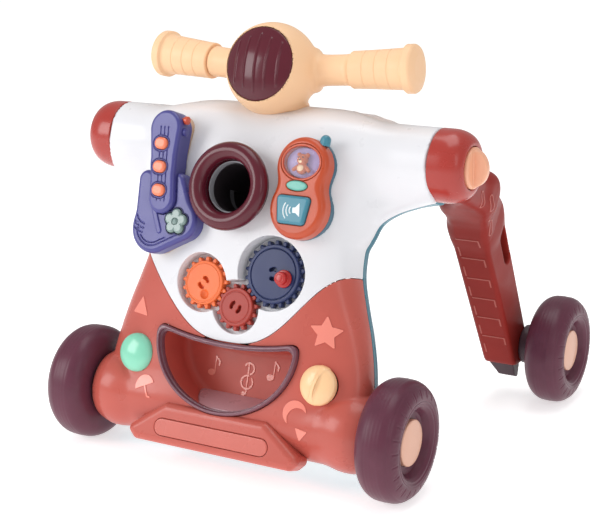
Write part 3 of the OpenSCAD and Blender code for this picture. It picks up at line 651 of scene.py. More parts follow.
def meshed(teeth, angle):
    d = pitch_r(teeth) + pitch_r(IDLER)
    return IDLER_AT + d * np.array([math.cos(math.radians(angle)), math.sin(math.radians(angle))])


LARGE_ANGLE, MEDIUM_ANGLE = 45.5, 155
GEAR_AT = {LARGE: meshed(LARGE, LARGE_ANGLE), MEDIUM: meshed(MEDIUM, MEDIUM_ANGLE), IDLER: IDLER_AT}
IDLER_TURN = LARGE_ANGLE + 180 / IDLER
GEAR_TURN = {IDLER: IDLER_TURN}
for teeth, angle in ((LARGE, LARGE_ANGLE), (MEDIUM, MEDIUM_ANGLE)):
    GEAR_TURN[teeth] = angle + 180 + (IDLER_TURN + 180 / IDLER - angle) * -IDLER / teeth
WELL_FLOOR = 33


def wells(p):
    return np.min([disc(p, GEAR_AT[t], pitch_r(t) + 0.85 * MODULE + 3) for t in GEAR_AT], axis=0)


RING_X, RING_U = -5, 218
DOME = (107, 40)                      # the click knob; the green dome mirrors it
DOME_R, DOME_FOOT = 20, 27
EDGE = 0.9                            # fillet of the shells' borders
SCREWS = [(60, -22), (116, 74), (98, 158), (88, 262), (150, 267)]


def panel_holes(p):
    domes = np.min([disc(p, (s * DOME[0], DOME[1]), DOME_R - 1.2) for s in (-1, 1)], axis=0)
    return np.min([disc(p, (RING_X, RING_U), 28), wells(p), domes, mouth(p) - 0.3], axis=0)


SEAM_BEND, SEAM_DROP = 240, 17         # where the seam leaves the middle plane, and by how much


def seam_side(p):
    """Distance in front of the seam between the panel and the back, which runs further back over the top."""
    t = np.clip((p[:, 1] - SEAM_BEND) / 34, 0, 1)
    back = SEAM_DROP * t * t * (3 - 2 * t)
    return (p[:, 2] + back) / np.hypot(1, 6 * t * (1 - t) * SEAM_DROP / 34)


def upper_part(p):
    return np.min([bib_side(p) - SEAM, seam_side(p) - SEAM, panel_holes(p)], axis=0) - EDGE


def lower_part(p):
    return np.min([-bib_side(p) - SEAM, p[:, 2] - SEAM, panel_holes(p)], axis=0) - EDGE


def panel_reach(p, n):
    """How deep the edges go: gear walls down to the plate, the other holes a little way, seams by the wall."""
    out = p - 2 * n
    hole = panel_holes(p)
    in_hole = (hole < 0.6) & (p[:, 2] > 12)
    out[in_hole] = p[in_hole]
    out[in_hole, 2] = np.where(wells(p[in_hole]) < 0.6, WELL_FLOOR, np.minimum(p[in_hole, 2] - 1, 28))
    return out


whole = triangles(skin(moulding, (-192, -42, -42), (192, 318, 64), 3.0))
piece("upper_shell", shell(clip(whole, upper_part, moulding), moulding, EDGE, panel_reach), "front_upper_shell")
piece("lower_shell", shell(clip(whole, lower_part, moulding), moulding, EDGE, panel_reach), "front_lower_shell")

DOOR = (68, 122)
SPEAKER = (70, 205)


def back_part(p):
    door = many(p[:, :2] - DOOR, [(-32, -25), (32, -25), (32, 25), (-32, 25)]) - 0.3
    x, u = SPEAKER
    slots = np.min([stick(p[:, :2], (x + i, u - 14), (x + i, u + 14), 1.5) for i in range(-18, 19, 6)], axis=0)
    heads = np.min([disc(p, (s * x, u), 4.6) for x, u in SCREWS for s in (-1, 1)], axis=0)
    return np.minimum(-seam_side(p) - SEAM, np.min([door, slots, heads], axis=0)) - 0.7


piece("back_shell", shell(clip(whole, back_part, moulding, 1.0), moulding, 0.7), "back_cover")


def door_part(p):
    """The battery door is cut from the same skin, with three finger grips and a screw hole."""
    q = p[:, :2] - DOOR
    grips = np.min([stick(q, (-9, 14 + 3 * i), (9, 14 + 3 * i), 0.5) for i in range(3)], axis=0)
    inside = -many(q, [(-31.4, -24.4), (31.4, -24.4), (31.4, 24.4), (-31.4, 24.4)])
    return np.min([inside, grips, np.hypot(q[:, 0], q[:, 1] + 19) - 2.6, -5 - p[:, 2]], axis=0) - 0.5


piece("battery_hatch", shell(clip(whole, door_part, moulding, 0.9), moulding, 0.5, wall=1.6), "battery_door")


# ================================================================ mouth: rim, liner and floor
def rim_field(p):
    """A round band just inside the mouth's outline, with a fine step on its inner side."""
    edge = mouth(p)
    band = plate(np.abs(edge + 2.5) - 2.5, p[:, 2], 32, 43, 2.2)
    return carve(band, plate(np.abs(edge + 4.2) - 0.7, p[:, 2], 39, 44.2, 0.6), 0.6)


piece("mouth_lip", shaded(rim_field, (-86, -10, 30), (86, 78, 46), 1.1), "mouth_rim")

TRAY_BACK = -12
FLOOR_TOP = 69 - WHEEL_R


def height(p):
    """Height above the axle in the row frame, of points in the body's frame."""
    return p[:, 1] * C + p[:, 2] * S


def tray_room(p):
    return meet(mouth(p) + 2.2, TRAY_BACK - p[:, 2], 9)


def liner_field(p):
    return -tray_room(p)


def liner_part(p):
    chute = np.max([np.abs(p[:, 0] - RING_X) - 27, 56 - p[:, 1], p[:, 2] - 26, -5 - p[:, 2]], axis=0)
    return np.min([31.4 - p[:, 2], height(p) - FLOOR_TOP + 4, chute], axis=0) - 0.4


liner = triangles(skin(liner_field, (-84, -12, -16), (84, 78, 36), 2.0))
piece("tray_wall", shell(clip(liner, liner_part, liner_field, 1.2), liner_field, 0.4, wall=1.8), "tray_liner")


def tray_floor_field(p):
    room = np.maximum(mouth(p) + 2.6, TRAY_BACK + 0.6 - p[:, 2])
    level = np.maximum(height(p) - FLOOR_TOP, FLOOR_TOP - 3 - height(p))
    return meet(room, np.maximum(level, p[:, 2] - 31.5), 0.6)


piece("tray_base", shaded(tray_floor_field, (-84, -12, -16), (84, 30, 36), 1.2), "tray_floor",
      finish=TRAY_MAUVE)

# ================================================================ ball ring
TUBE_R = 8.8
ring = [(36.5, 44), (37.0, 60)] + arc((35.2, 72), TUBE_R, -50, 202, 42)
ring += [(27.2, 62.5), (26.2, 61.5), (26.2, 44)]
piece("ball_hoop", turned(ring_line(ring), 128), "ball_ring", on_body(RING_X, RING_U, 0))
# the white shell's tube round the ball hole, coloured grey as painted shade
sleeve = rounded([(26.0, 20), (26.0, 66), (24.6, 66), (24.6, 20)], 0.4)
piece("hole_sleeve", turned(ring_line(sleeve), 96), "ball_chute", on_body(RING_X, RING_U, 0),
      stands=False, finish=SLEEVE_SHADE_GREY)

# ================================================================ gears


def tooth_field(teeth):
    """The distance, from above, to a gear whose first tooth lies on angle 0."""
    rp, pressure, backlash = pitch_r(teeth), math.radians(19), 0.6
    tip, root = rp + 0.8 * MODULE, rp - 1.05 * MODULE
    base = rp * math.cos(pressure)

    def inv(a):
        return math.tan(a) - a

    radii = np.linspace(max(root, base) + 0.02, tip, 6)
    halves = [math.pi / 2 / teeth - backlash / MODULE / 2 / teeth + inv(pressure)
              - inv(math.acos(min(1, base / r))) for r in radii]

    def field(x, y):
        r = np.hypot(x, y)
        angle = np.abs((np.arctan2(y, x) * teeth / 2 / math.pi + 0.5) % 1 - 0.5) * 2 * math.pi / teeth
        flank = (angle - np.interp(r, radii, halves)) * r
        return melt(meet(flank, r - tip, 0.9), r - root, 1.0)

    return field


GEAR_FOOT, GEAR_TOP = WELL_FLOOR + 1, 9.5     # the gears' underside, and their faces above it


def gear_field(teeth, holes, groove, extra=None):
    """A toothed rim, a raised face with one round groove (radius, depth), and two holes."""
    outline = tooth_field(teeth)
    face = pitch_r(teeth) - 2.2

    def field(p):
        r = np.hypot(p[:, 0], p[:, 1])
        solid = np.minimum(plate(outline(p[:, 0], p[:, 1]), p[:, 2], 0, 7, 0.7),
                           plate(r - face, p[:, 2], 0, GEAR_TOP, 1.0))
        solid = carve(solid, plate(np.abs(r - groove[0]) - 0.55, p[:, 2], GEAR_TOP - groove[1], 20, 0.2), 0.3)
        solid = carve(solid, plate(holes(p[:, :2]), p[:, 2], 5, 30, 0.3), 0.5)
        return extra(p, solid) if extra else solid

    return field


def kidneys(turn):
    """Two short curved holes beside the centre, on a line at this angle."""
    c, s = math.cos(turn), math.sin(turn)

    def holes(q):
        x, y = np.abs(q[:, 0] * c + q[:, 1] * s), -q[:, 0] * s + q[:, 1] * c
        swing = np.clip(np.arctan2(y, x), -0.55, 0.55)
        return np.hypot(x - 4.9 * np.cos(swing), y - 4.9 * np.sin(swing)) - 1.8

    return holes


def dimple(p, solid):
    """The medium gear's hollow for a fingertip."""
    turn = math.radians(-75 - GEAR_TURN[MEDIUM])
    return carve(solid, ball(p, (12 * math.cos(turn), 12 * math.sin(turn), GEAR_TOP + 1.6), 5.0), 0.5)


def place_gear(teeth):
    return on_body(*GEAR_AT[teeth], GEAR_FOOT, GEAR_TURN[teeth])


for teeth, node, groove, extra, line in ((LARGE, "large_gear", (25.2, 0.9), None, 100),
                                         (MEDIUM, "medium_gear", (19.5, 0.4), dimple, 55),
                                         (IDLER, "idler_gear", (15.5, 0.4), None, -25)):
    tip = pitch_r(teeth) + 3.2
    gear = gear_field(teeth, kidneys(math.radians(line - GEAR_TURN[teeth])), groove, extra)
    piece(node + "_moulded", shaded(gear, (-tip, -tip, -1), (tip, tip, 11), 0.6), node, place_gear(teeth))

crank = [(0, -5), (2, -5), (2, 0.2), (8.2, 0.2), (8.8, 1.0), (8.8, 2.2), (8.2, 3.0), (6.4, 3.3),
         (6.0, 4.0), (6.1, 7.4), (6.4, 8.2), (6.3, 9.2), (5.6, 9.9), (4.2, 10.2), (3.9, 9.9),
         (3.4, 9.9), (3.1, 10.3), (0, 10.5)]
CRANK_R, CRANK_TURN = 13.5, math.radians(-14)
CRANK_AT = GEAR_AT[LARGE] + CRANK_R * np.array([math.cos(CRANK_TURN), math.sin(CRANK_TURN)])
piece("crank_button", turned(rounded(crank, 0.4), 64), "crank_knob", on_body(*CRANK_AT, GEAR_FOOT + GEAR_TOP))

# ================================================================ domes
green = [(0, -6), (5, -6), (5, 0), (19.2, 0), (20, 0.8), (20, 8), (19.6, 10.2)]
green += [(19.4 * math.cos(math.radians(a)), 9.5 + 7.5 * math.sin(math.radians(a))) for a in range(10, 90, 8)]
green += [(0, 17)]
piece("green_dome", turned(green, 96), "green_button", on_body(-DOME[0], DOME[1], DOME_FOOT))


def click_field(p):
    """A low dome with a blade across it."""
    r, z = np.hypot(p[:, 0], p[:, 1]), p[:, 2]
    dome = meet(plate(r - DOME_R, z, 0, 40, 1.0), np.sqrt(r ** 2 + ((z - 7.5) * 2.45) ** 2) - 20.2, 2.0)
    blade = np.maximum(np.abs(p[:, 0]) - 3.4 + 0.10 * z, np.sqrt(p[:, 1] ** 2 + ((z - 4) * 1.25) ** 2) - 18.6)
    stem = np.maximum(r - 5, np.maximum(-6 - z, z - 2))
    return melt(melt(dome, blade, 3.5), stem, 0.5)


piece("click_dome", shaded(click_field, (-21, -21, -7), (21, 21, 20), 0.8), "click_knob",
      on_body(*DOME, DOME_FOOT, -14), finish=DOME_PEACH)

# ================================================================ bumper


def bumper_outline(p):
    return many(p[:, :2], [(-89, -40), (89, -40), (93, -36), (57, -10), (-57, -10), (-93, -36)]) - 6.5


LABEL = ((-58, -29), (58, -29))       # the ends of the long oval plate


def bumper_field(p):
    solid = plate(bumper_outline(p), p[:, 2], 14, 43.5, 8)
    solid = carve(solid, moulding(p) - 0.2, 0.3)
    solid = carve(solid, np.maximum(stick(p[:, :2], *LABEL, 9.0), 41.2 - p[:, 2]), 0.5)
    return carve(solid, np.maximum(mouth(p) - 0.3, 20 - p[:, 2]), 0.5)


piece("bumper_block", shaded(bumper_field, (-102, -50, 12), (102, 0, 46), 1.2), "front_bumper")
panel = flat(lambda q: stick(q, *LABEL, 8.5), 40, 44.1, 1.0)
piece("bumper_panel", shaded(panel, (-70, -40, 38), (70, -18, 46), 0.9), "bumper_plate", finish=PLATE_ROSE)

# ================================================================ wheels
TYRE_EDGE = 17                        # radius of the tyre's shoulders


def tyre_line():
    """A wheel's section as (radius, depth), its outer side up."""
    half = WHEEL_HALF
    tread = arc((WHEEL_R - TYRE_EDGE, half - TYRE_EDGE), TYRE_EDGE, 0, 90, 15)
    under = [(r, -z) for r, z in tread[::-1]]
    line = [(4.05, -half + 6), (18, -half + 6), (20, -half + 3), (34, -half)] + under + tread[1:]
    line += [(40.5, half - 0.2), (36.6, half - 1.4), (33.8, half - 3.6), (31.8, half - 7.0),
             (30.4, half - 9.6), (28.4, half - 10.6), (23.4, half - 10.8), (23.3, half - 12),
             (4.05, half - 12), (4.05, -half + 6)]
    return dense(line, 1.1)


def tyre_mesh():
    """A tyre with fine lines, blocks and circles on its outer side and three shallow rings round its tread."""
    points, faces = turned(tyre_line(), 288)
    r = np.hypot(points[:, 0], points[:, 1])
    angle = np.arctan2(points[:, 1], points[:, 0])
    z = points[:, 2]
    out = z > 2
    beat = np.abs((angle * 24 / (2 * math.pi)) % 1 - 0.5) * 2 * math.pi * r / 24   # mm from the nearest line
    line = np.exp(-(beat / 0.7) ** 2) * np.clip((r - 43.5) / 1.2, 0, 1) * np.clip((53 - r) / 1.2, 0, 1)
    block = np.exp(-((beat - 3.6) / 0.6) ** 2) * np.clip((r - 47) / 0.8, 0, 1) * np.clip((51 - r) / 0.8, 0, 1)
    circles = sum(np.exp(-((r - c) / 0.6) ** 2) for c in (38.5, 41.5, 56.0)) * 0.35
    rings = 0.35 * np.exp(-((np.abs(z) - 5.5) / 0.55) ** 2) - 0.3 * np.exp(-(z / 0.5) ** 2)
    depth = np.where(out, 0.55 * line + 0.35 * block + circles, 0) + rings * (r > 50)
    radial = np.stack([np.cos(angle), np.sin(angle)], 1)
    swell = np.clip((r - 43) / 17, 0, 1)
    move = np.where(r > 30, depth, 0)
    points[:, :2] -= radial * (move * swell)[:, None]
    points[:, 2] -= np.sign(z) * move * np.sqrt(np.maximum(0, 1 - swell ** 2))
    points[:, 2] *= np.where(z > 0, 1.09, 1.03)              # the sidewalls bulge a little
    return points, faces


tyre = tyre_mesh()
hub = turned(rounded([(0, 9.4), (22.9, 9.4), (22.9, 15.2), (22.2, 16.0), (19, 16.5), (0, 17.2)],
                     [0, 0.5, 0.5, 0.6, 3, 0]), 96)
for side, word in SIDES:
    for end, x, y in (("front", FRONT_X, -HALF_BASE), ("rear", REAR_X, HALF_BASE)):
        at = sideways(side, (side * x, y, WHEEL_R))
        piece(f"{end}_{word}_wheel_tyre", tyre, f"{end}_{word}_tyre", at)
        piece(f"{end}_{word}_wheel_cap", hub, f"{end}_{word}_hub_cap", at)

# ================================================================ shoulders
LENGTH = CAP_END - ARM_X - 0.6
ROUNDING = [(ARM_R - 13.6 * (1 - math.cos(math.radians(a))), LENGTH - 22 * (1 - math.sin(math.radians(a))))
            for a in range(0, 91, 6)]
cap_line = [(12, 1), (33, 1), (33, 0), (35.4, 0.1), (36, 0.8)] + ROUNDING + [
    (21.4, LENGTH - 0.3), (21, LENGTH - 1), (21, LENGTH - 6), (7.1, LENGTH - 6), (7.1, 3), (12, 3), (12, 1)]
cap_mesh = turned(dense(cap_line, 6), 112)


def knob_field(p):
    """A lock knob: a flat disc with a tall fin across it."""
    r, z = np.hypot(p[:, 0], p[:, 1]), p[:, 2]
    base = plate(r - 20.3, z, 0, 8.4, 2.4)
    fin = meet(np.hypot(p[:, 1], (z - 5) * 1.14) - 18.6, np.abs(p[:, 0]) - 5.2 + 0.1 * (z - 9), 2.4)
    crease = stick(np.stack([np.abs(p[:, 0]), z], 1), (6.6, 8.9), (6.7, 8.9), 1.2)
    shank = np.maximum(r - 7, np.maximum(-7 - z, z - 2))
    return melt(carve(melt(base, fin, 0.8), crease, 0.5), shank, 0.4)


knob_mesh = shaded(knob_field, (-22, -22, -8), (22, 22, 23), 0.8)
for side, word in SIDES:
    cap_at, knob_at = (sideways(side, (side * x, *SHOULDER[1:])) for x in (ARM_X + 0.6, CAP_END - 5.7))
    piece(f"{word}_cap", cap_mesh, f"{word}_shoulder_cap", cap_at, finish=CAP_RED)
    piece(f"{word}_knob", knob_mesh, f"{word}_lock_knob", knob_at, finish=KNOB_SALMON)

# ================================================================ legs
LEG_IN, LEG_OUT = 138, 180
HEAD, THIGH, ELBOW, ANKLE = (30, -28), (96, -46), (147, -86), (243.5, -255.5)
FOOT_LINE = -273
REAR_AXLE = (255.5, -253)
SLOT_AT = (182, -120)


def limb(p, a, ra, xa, b, rb, xb, edge):
    """A bar between two round ends whose reach in x changes along it."""
    q = p[:, 1:]
    d = stick(q, a, b, ra, rb)
    t = np.clip(((q - a) @ (np.array(b) - a)) / ((np.array(b) - a) @ (np.array(b) - a)), 0, 1)
    low, high = xa[0] + (xb[0] - xa[0]) * t, xa[1] + (xb[1] - xa[1]) * t
    return plate(d, p[:, 0], low, high, edge)


SHIN = unit(np.array(ANKLE) - np.array(ELBOW, float))
FACE = np.array([SHIN[1], -SHIN[0]])                 # square to the shin, towards the front


def along_leg(p):
    """Height down the shin from the elbow, and distance towards its front face."""
    q = p[:, 1:] - np.array(ELBOW, float)
    return q @ SHIN, q @ FACE


def leg_field(p):
    upper = limb(p, HEAD, 15, (ARM_X + 2, CAP_END - 12), THIGH, 20, (LEG_IN + 6, 199), 11)
    bend = limb(p, THIGH, 20, (LEG_IN + 6, 199), ELBOW, 26.5, (LEG_IN, LEG_OUT), 10)
    shin = limb(p, ELBOW, 26.5, (LEG_IN, LEG_OUT), ANKLE, 22.5, (LEG_IN, LEG_OUT - 3), 5)
    solid = melt(melt(upper, bend, 16), shin, 12)
    solid = meet(solid, FOOT_LINE - p[:, 2], 2)
    # the finger slot through the outer side and the back
    solid = carve(solid, stick(p[:, 1:] - SLOT_AT, (8, -14.5), (-8, 14.5), 8), 2.5)
    # room for the shoulder cap and for the rear axle's boss
    solid = carve(solid, np.maximum(stick(p[:, 1:], (0, 0), (0.1, 0), 37.2), 180 - p[:, 0]), 0.8)
    return carve(solid, np.maximum(disc(p[:, 1:], REAR_AXLE, 9.5), 172 - p[:, 0]), 0.5)


pair(shaded(leg_field, (134, 4, -278), (222, 274, 0), 1.7), "{}_leg_case", "{}_leg_shell", AT_SHOULDER)


def leg_lines(p):
    """Six stepped lines down the front of the shin and capsules round the outer side of the upper leg."""
    s, f = along_leg(p)
    front = np.stack([p[:, 0], s], 1)
    steps = np.full(len(p), 1e9)
    for i in range(6):
        y = 4 + i * 30.5
        steps = np.minimum(steps, path(front, [(LEG_IN + 7.5, y + 14), (LEG_IN + 7.5, y + 27)], 0.6))
        corner = (LEG_IN + 34, y)
        steps = np.minimum(steps, path(front, [(LEG_IN + 8.5, y), corner, (LEG_IN + 34, y + 10)], 0.6))
    steps = np.maximum(steps, 12 - f)
    bars = np.min([stick(p[:, 1:], (y - 3, z + 6), (y + 3, z - 6), 3.2)
                   for y, z in ((62, -44), (84, -52), (106, -68), (124, -88))], axis=0)
    bars = np.maximum(np.abs(bars) - 0.5, 172 - p[:, 0])
    return -np.minimum(steps, bars)


ridge_field = grown(leg_field, 0.45)
leg_skin = triangles(skin(ridge_field, (134, 4, -278), (222, 274, 0), 2.4))
ridges = shell(clip(leg_skin, leg_lines, ridge_field, 0.7), ridge_field, 0.25, wall=0.9)
# the raised lines wear the lighter finish, a painted highlight
pair(ridges, "{}_leg_ridges", "{}_leg_shell", AT_SHOULDER, RIDGE_HIGHLIGHT_RED)


def foot_field(p):
    """A dark wedge that narrows downwards, a plug inside the shin and a boss for the rear axle."""
    low = np.clip((-270 - p[:, 2]) / 22, 0, 1)
    side = many(p[:, 1:], [(233, -262), (253, -262), (253, -275), (248, -292), (238, -288), (232, -274)])
    wedge = np.maximum(side + 1.5, np.maximum(LEG_IN + 5 + 14 * low - p[:, 0], p[:, 0] - (LEG_IN + 33))) - 1.5
    width = LEG_IN + 3.3, LEG_OUT - 6.3
    core = limb(p, ANKLE, 19, width, (243.6, -255.5), 19, width, 1)
    around = disc(p[:, 1:], REAR_AXLE, 0)
    boss = plate(around - 22, p[:, 0], LEG_OUT - 2.7, 195, 2)
    spigot = np.maximum(around - 9, np.abs(p[:, 0] - 176) - 4)
    return carve(np.minimum(np.minimum(wedge, core), np.minimum(boss, spigot)), around - 4.1, 0.2)


foot = shaded(foot_field, (140, 215, -297), (198, 282, -226), 1.3)
pair(foot, "{}_foot_block", "{}_leg_foot", AT_SHOULDER)

# ================================================================ handlebar
LAMP, LENS_R = (0, 343, 30), 37.0
BAR_AT = np.array([0, 344, 16.0])
RISE, SWEEP = math.radians(4.8), math.radians(2.6)
BAR_DIR = unit(np.array([math.cos(RISE) * math.cos(SWEEP), math.sin(RISE) * math.cos(SWEEP), -math.sin(SWEEP)]))


def bar_parts(p):
    """Distance along a side of the bar and distance from its axis."""
    q = np.stack([np.abs(p[:, 0]), p[:, 1], p[:, 2]], 1) - BAR_AT
    t = q @ BAR_DIR
    return t, np.linalg.norm(q - t[:, None] * BAR_DIR, axis=1)


def lamp_field(p):
    head = ball(p, LAMP, 47)
    t, r = bar_parts(p)
    flare = 15.5 + 6.5 * np.exp(-np.maximum(t - 42, 0) / 3.2) + 0.5 * np.exp(-((t - 78) / 2) ** 2)
    neck = np.maximum(np.maximum(r - flare, 20 - t), t - 81.4)
    spigot = np.maximum(np.maximum(r - 12.8, 20 - t), t - 101)
    x, u, n = p[:, 0], p[:, 1], p[:, 2]
    stem = np.hypot(x, (n - 10) * 1.35) - 21
    stem = np.maximum(np.maximum(stem, 291 - u), u - 320)
    foot = meet(np.hypot(x, (n - 10) * 1.1) - 33, np.maximum(304 - u, u - 317), 4)
    solid = melt(melt(head, neck, 4.5), melt(foot, stem, 2), 4)
    solid = melt(solid, spigot, 0.4)
    around = np.hypot(x, u - LAMP[1])
    solid = meet(solid, n - 62.6, 3.5)
    return carve(solid, np.maximum(around - LENS_R - 0.4, 50.5 - n), 1.0)


piece("lamp_case", shaded(lamp_field, (-106, 288, -20), (106, 394, 64), 1.4), "headlight_housing")


def lens_field(p):
    """A bulging lens with five fine ribs."""
    r = np.hypot(p[:, 0], p[:, 1])
    bulge = np.where(r < LENS_R, 9.0 * (1 - (r / LENS_R) ** 2), 0)
    reach = np.clip((31 - np.abs(p[:, 1]) - 0.35 * np.abs(p[:, 0])) / 2, 0, 1)
    ribs = np.max([np.exp(-((p[:, 0] - c) / 0.9) ** 2) for c in (-24, -12, 0, 12, 24)], axis=0)
    return plate(r - LENS_R, p[:, 2] - bulge - 0.9 * ribs * reach, -9, 5, 1.0)


piece("lamp_lens", shaded(lens_field, (-39, -39, -6), (39, 39, 17), 0.9), "headlight_lens",
      on_body(*LAMP[:2], 52.3))


def grip_profile():
    """A handle's outline as (radius, place along the bar): a grooved slow flare, a thin flange and a dome."""
    line = [(13.3, 82), (17.8, 82), (18.4, 82.5), (18.7, 83.2)]
    grooves = (98, 111.5, 125)
    for i in range(1, 54 * 2):
        z = 83.2 + i * 0.5
        base = 18.7 + 2.0 * ((z - 83) / 54) ** 1.3
        line.append((base - 0.75 * sum(math.exp(-((z - g) / 0.5) ** 2) for g in grooves), z))
    flange = rounded([line[-1], (21.4, 138.4), (24.2, 140.2), (24.2, 147.2), (22.6, 149.6), (14, 152.4),
                      (0, 153.2)], [0, 2, 1.2, 1.6, 3, 6, 0])
    return line + flange[1:]


grip = turned([(0, 101.5), (13.3, 101.5)] + grip_profile(), 112)
for side, word in SIDES:
    out = BAR_DIR * [side, 1, 1]
    across = unit(np.cross((0, 1, 0), out))
    piece(f"{word}_handle", grip, f"{word}_grip", BODY @ place(BAR_AT, across, np.cross(out, across), out))

# ================================================================ guitar


def guitar_outline(q):
    a = melt(stick(q, (-88, 168), (-57, 178), 24, 18), stick(q, (-90, 176), (-104, 216), 20, 8.5), 5)
    b = melt(stick(q, (-62, 182), (-68, 216), 18, 8.5), stick(q, (-88, 170), (-86, 205), 20, 14), 5)
    return melt(a, b, 5) - 1.5


def neck_outline(q):
    low, high = stick(q, (-79.5, 198), (-84, 232), 14, 13.5), stick(q, (-84, 232), (-87, 269), 13.5, 17.5)
    return melt(low, high, 4) - 1.0


GUITAR_BUTTONS = [(-88, 253), (-86, 229.5), (-83, 206)]
FLOWER = (-60, 177)
GUITAR_SEAM, GUITAR_TOP, NECK_TOP = 54.2, 70, 76


def button_outline(q, at):
    tilt = math.radians(-5)
    d = np.array([math.cos(tilt), math.sin(tilt)]) * 1.6
    return stick(q, np.array(at) - d, np.array(at) + d, 6)


def flower_outline(q):
    petals = [disc(q, at, 5.7) for at in arc(FLOWER, 7.4, 18, 306, 4)]
    return np.min(petals + [disc(q, FLOWER, 8.2)], axis=0)


def guitar_back_field(p):
    q = p[:, :2]
    both = np.minimum(guitar_outline(q), neck_outline(q)) + 1.4
    return carve(plate(both, p[:, 2], 36, 54.6, 1.5), moulding(p) - 0.1, 0.3)


def guitar_body_field(p):
    q = p[:, :2]
    outline = guitar_outline(q)
    solid = np.maximum(plate(outline, p[:, 2], 44, GUITAR_TOP, 4.5), GUITAR_SEAM - p[:, 2])
    solid = carve(solid, plate(neck_outline(q) - 0.6, p[:, 2], 50, 90, 0.1), 0.6)
    solid = carve(solid, plate(flower_outline(q) - 0.6, p[:, 2], 63, 90, 0.3), 0.8)
    lines = [np.abs(outline + 7.5) - 0.5 + np.where(q[:, 1] < 166, 0, 9),
             np.abs(outline + 10.5) - 0.4 + np.where(q[:, 1] < 160, 0, 9),
             disc(q, (-107.5, 171), 1.5), disc(q, (-104, 167), 1.3)]
    lines += [path(q, arc((-96, 184), r, 200, 262), 0.55) for r in (13, 17.5, 22)]
    groove = np.maximum(np.min(lines, axis=0), GUITAR_TOP - 0.9 - p[:, 2])
    bridge = plate(stick(q, (-79, 166), (-90, 190), 2.6), p[:, 2], 66, 71.2, 0.8)
    return melt(carve(solid, groove, 0.4), bridge, 0.5)


def guitar_neck_field(p):
    q = p[:, :2]
    solid = np.maximum(plate(neck_outline(q), p[:, 2], 44, NECK_TOP, 4.2), GUITAR_SEAM - p[:, 2])
    for at in GUITAR_BUTTONS:
        solid = carve(solid, plate(button_outline(q, at) - 0.45, p[:, 2], 68, 90, 0.2), 0.7)
    around = np.min([button_outline(q, at) for at in GUITAR_BUTTONS], axis=0) - 2.2
    strings = np.min([stick(q, (-87 + s, 270), (-79 + s, 196), 0.5) for s in (-4.5, 0, 4.5)], axis=0)
    lines = np.minimum(np.abs(around) - 0.35, np.maximum(strings, -around))
    return carve(solid, np.maximum(lines, NECK_TOP - 0.7 - p[:, 2]), 0.3)


piece("guitar_rear", shaded(guitar_back_field, (-116, 140, 34), (-34, 290, 60), 1.2), "guitar_back")
piece("guitar_face", shaded(guitar_body_field, (-116, 140, 53), (-34, 230, 73), 0.75), "guitar_body")
piece("guitar_stem", shaded(guitar_neck_field, (-108, 180, 54), (-62, 290, 78), 0.75), "guitar_neck")
for i, at in enumerate(GUITAR_BUTTONS):
    node = f"guitar_button_{i + 1}"
    button = flat(lambda q: button_outline(q, at), 71, 79, 2.8)
    low, high = (at[0] - 10, at[1] - 9, 69), (at[0] + 10, at[1] + 9, 81)
    piece(node + "_oval", shaded(button, low, high, 0.6), node)


def flower_field(p):
    d = flower_outline(p[:, :2])
    solid = plate(d, p[:, 2], 65.3, 73.3, 2.2)
    centre = np.abs(disc(p, FLOWER, 3.2)) - 0.45
    return melt(carve(solid, np.maximum(centre, 72.5 - p[:, 2]), 0.3), ball(p, (*FLOWER, 71.0), 3.2), 0.6)


piece("flower_key", shaded(flower_field, (-75, 162, 64), (-45, 192, 76), 0.6), "guitar_flower_button")
flower_edge = flat(lambda q: np.abs(flower_outline(q) - 1.3) - 0.6, 68, 71.0, 0.5)
piece("flower_edge", shaded(flower_edge, (-76, 161, 66), (-44, 193, 73), 0.6), "guitar_body",
      stands=False, finish=DARK_LINE)
peg = rounded([(0, -7), (2.5, -7), (2.5, 3.0), (4.2, 3.4), (4.2, 6.8), (3.2, 7.6), (0, 7.8)], 0.6)
for i, (u, finish) in enumerate(((279, PEG_RED), (267, FINISH["violet_plastic"]))):
    place_peg = BODY @ place((-73, u, 67), (0, 1, 0), (0, 0, 1), (1, 0, 0))
    piece(f"peg_{i + 1}", turned(peg, 40), f"guitar_peg_{i + 1}", place_peg, finish=finish)

# ================================================================ phone


def phone_outline(q):
    body = melt(disc(q, (70, 246), 26.5), disc(q, (71, 205), 28.5), 14)
    return melt(body, many(q, [(52, 205), (89, 205), (88, 246), (52, 246)]), 6) - 1.6


WINDOW, LIGHT = (70, 249), (69, 226)
PHONE_SEAM, PHONE_TOP = 52, 68
SPEAKER_KEY = [(51, 214.5), (86, 214.5), (82.5, 190), (54.5, 190)]


def key_outline(q):
    c = np.mean(SPEAKER_KEY, axis=0)
    inner = [c + (np.array(v) - c) * 0.8 for v in SPEAKER_KEY]
    return many(q, inner) - 4


def phone_shell_field(p):
    q = p[:, :2]
    solid = np.maximum(plate(phone_outline(q), p[:, 2], 40, PHONE_TOP, 6.0), PHONE_SEAM - p[:, 2])
    solid = carve(solid, plate(oval(q, WINDOW, 19.5, 15.5), p[:, 2], 60, 90, 0.2), 1.0)
    solid = carve(solid, plate(oval(q, LIGHT, 11.8, 5.4), p[:, 2], 63, 90, 0.2), 0.8)
    solid = carve(solid, plate(key_outline(q) - 0.4, p[:, 2], 61, 90, 0.2), 0.8)
    line = np.maximum(np.abs(oval(q, WINDOW, 22.2, 18.2)) - 0.4, PHONE_TOP - 0.8 - p[:, 2])
    return carve(solid, line, 0.3)


def phone_back_field(p):
    solid = plate(phone_outline(p[:, :2]) - 0.2, p[:, 2], 34, PHONE_SEAM + 0.2, 1.0)
    return carve(solid, moulding(p) - 0.1, 0.3)


piece("phone_rear", shaded(phone_back_field, (40, 174, 32), (102, 276, 58), 1.2), "phone_back")
piece("phone_case", shaded(phone_shell_field, (40, 174, 50.5), (102, 276, 70), 0.75), "phone_shell")


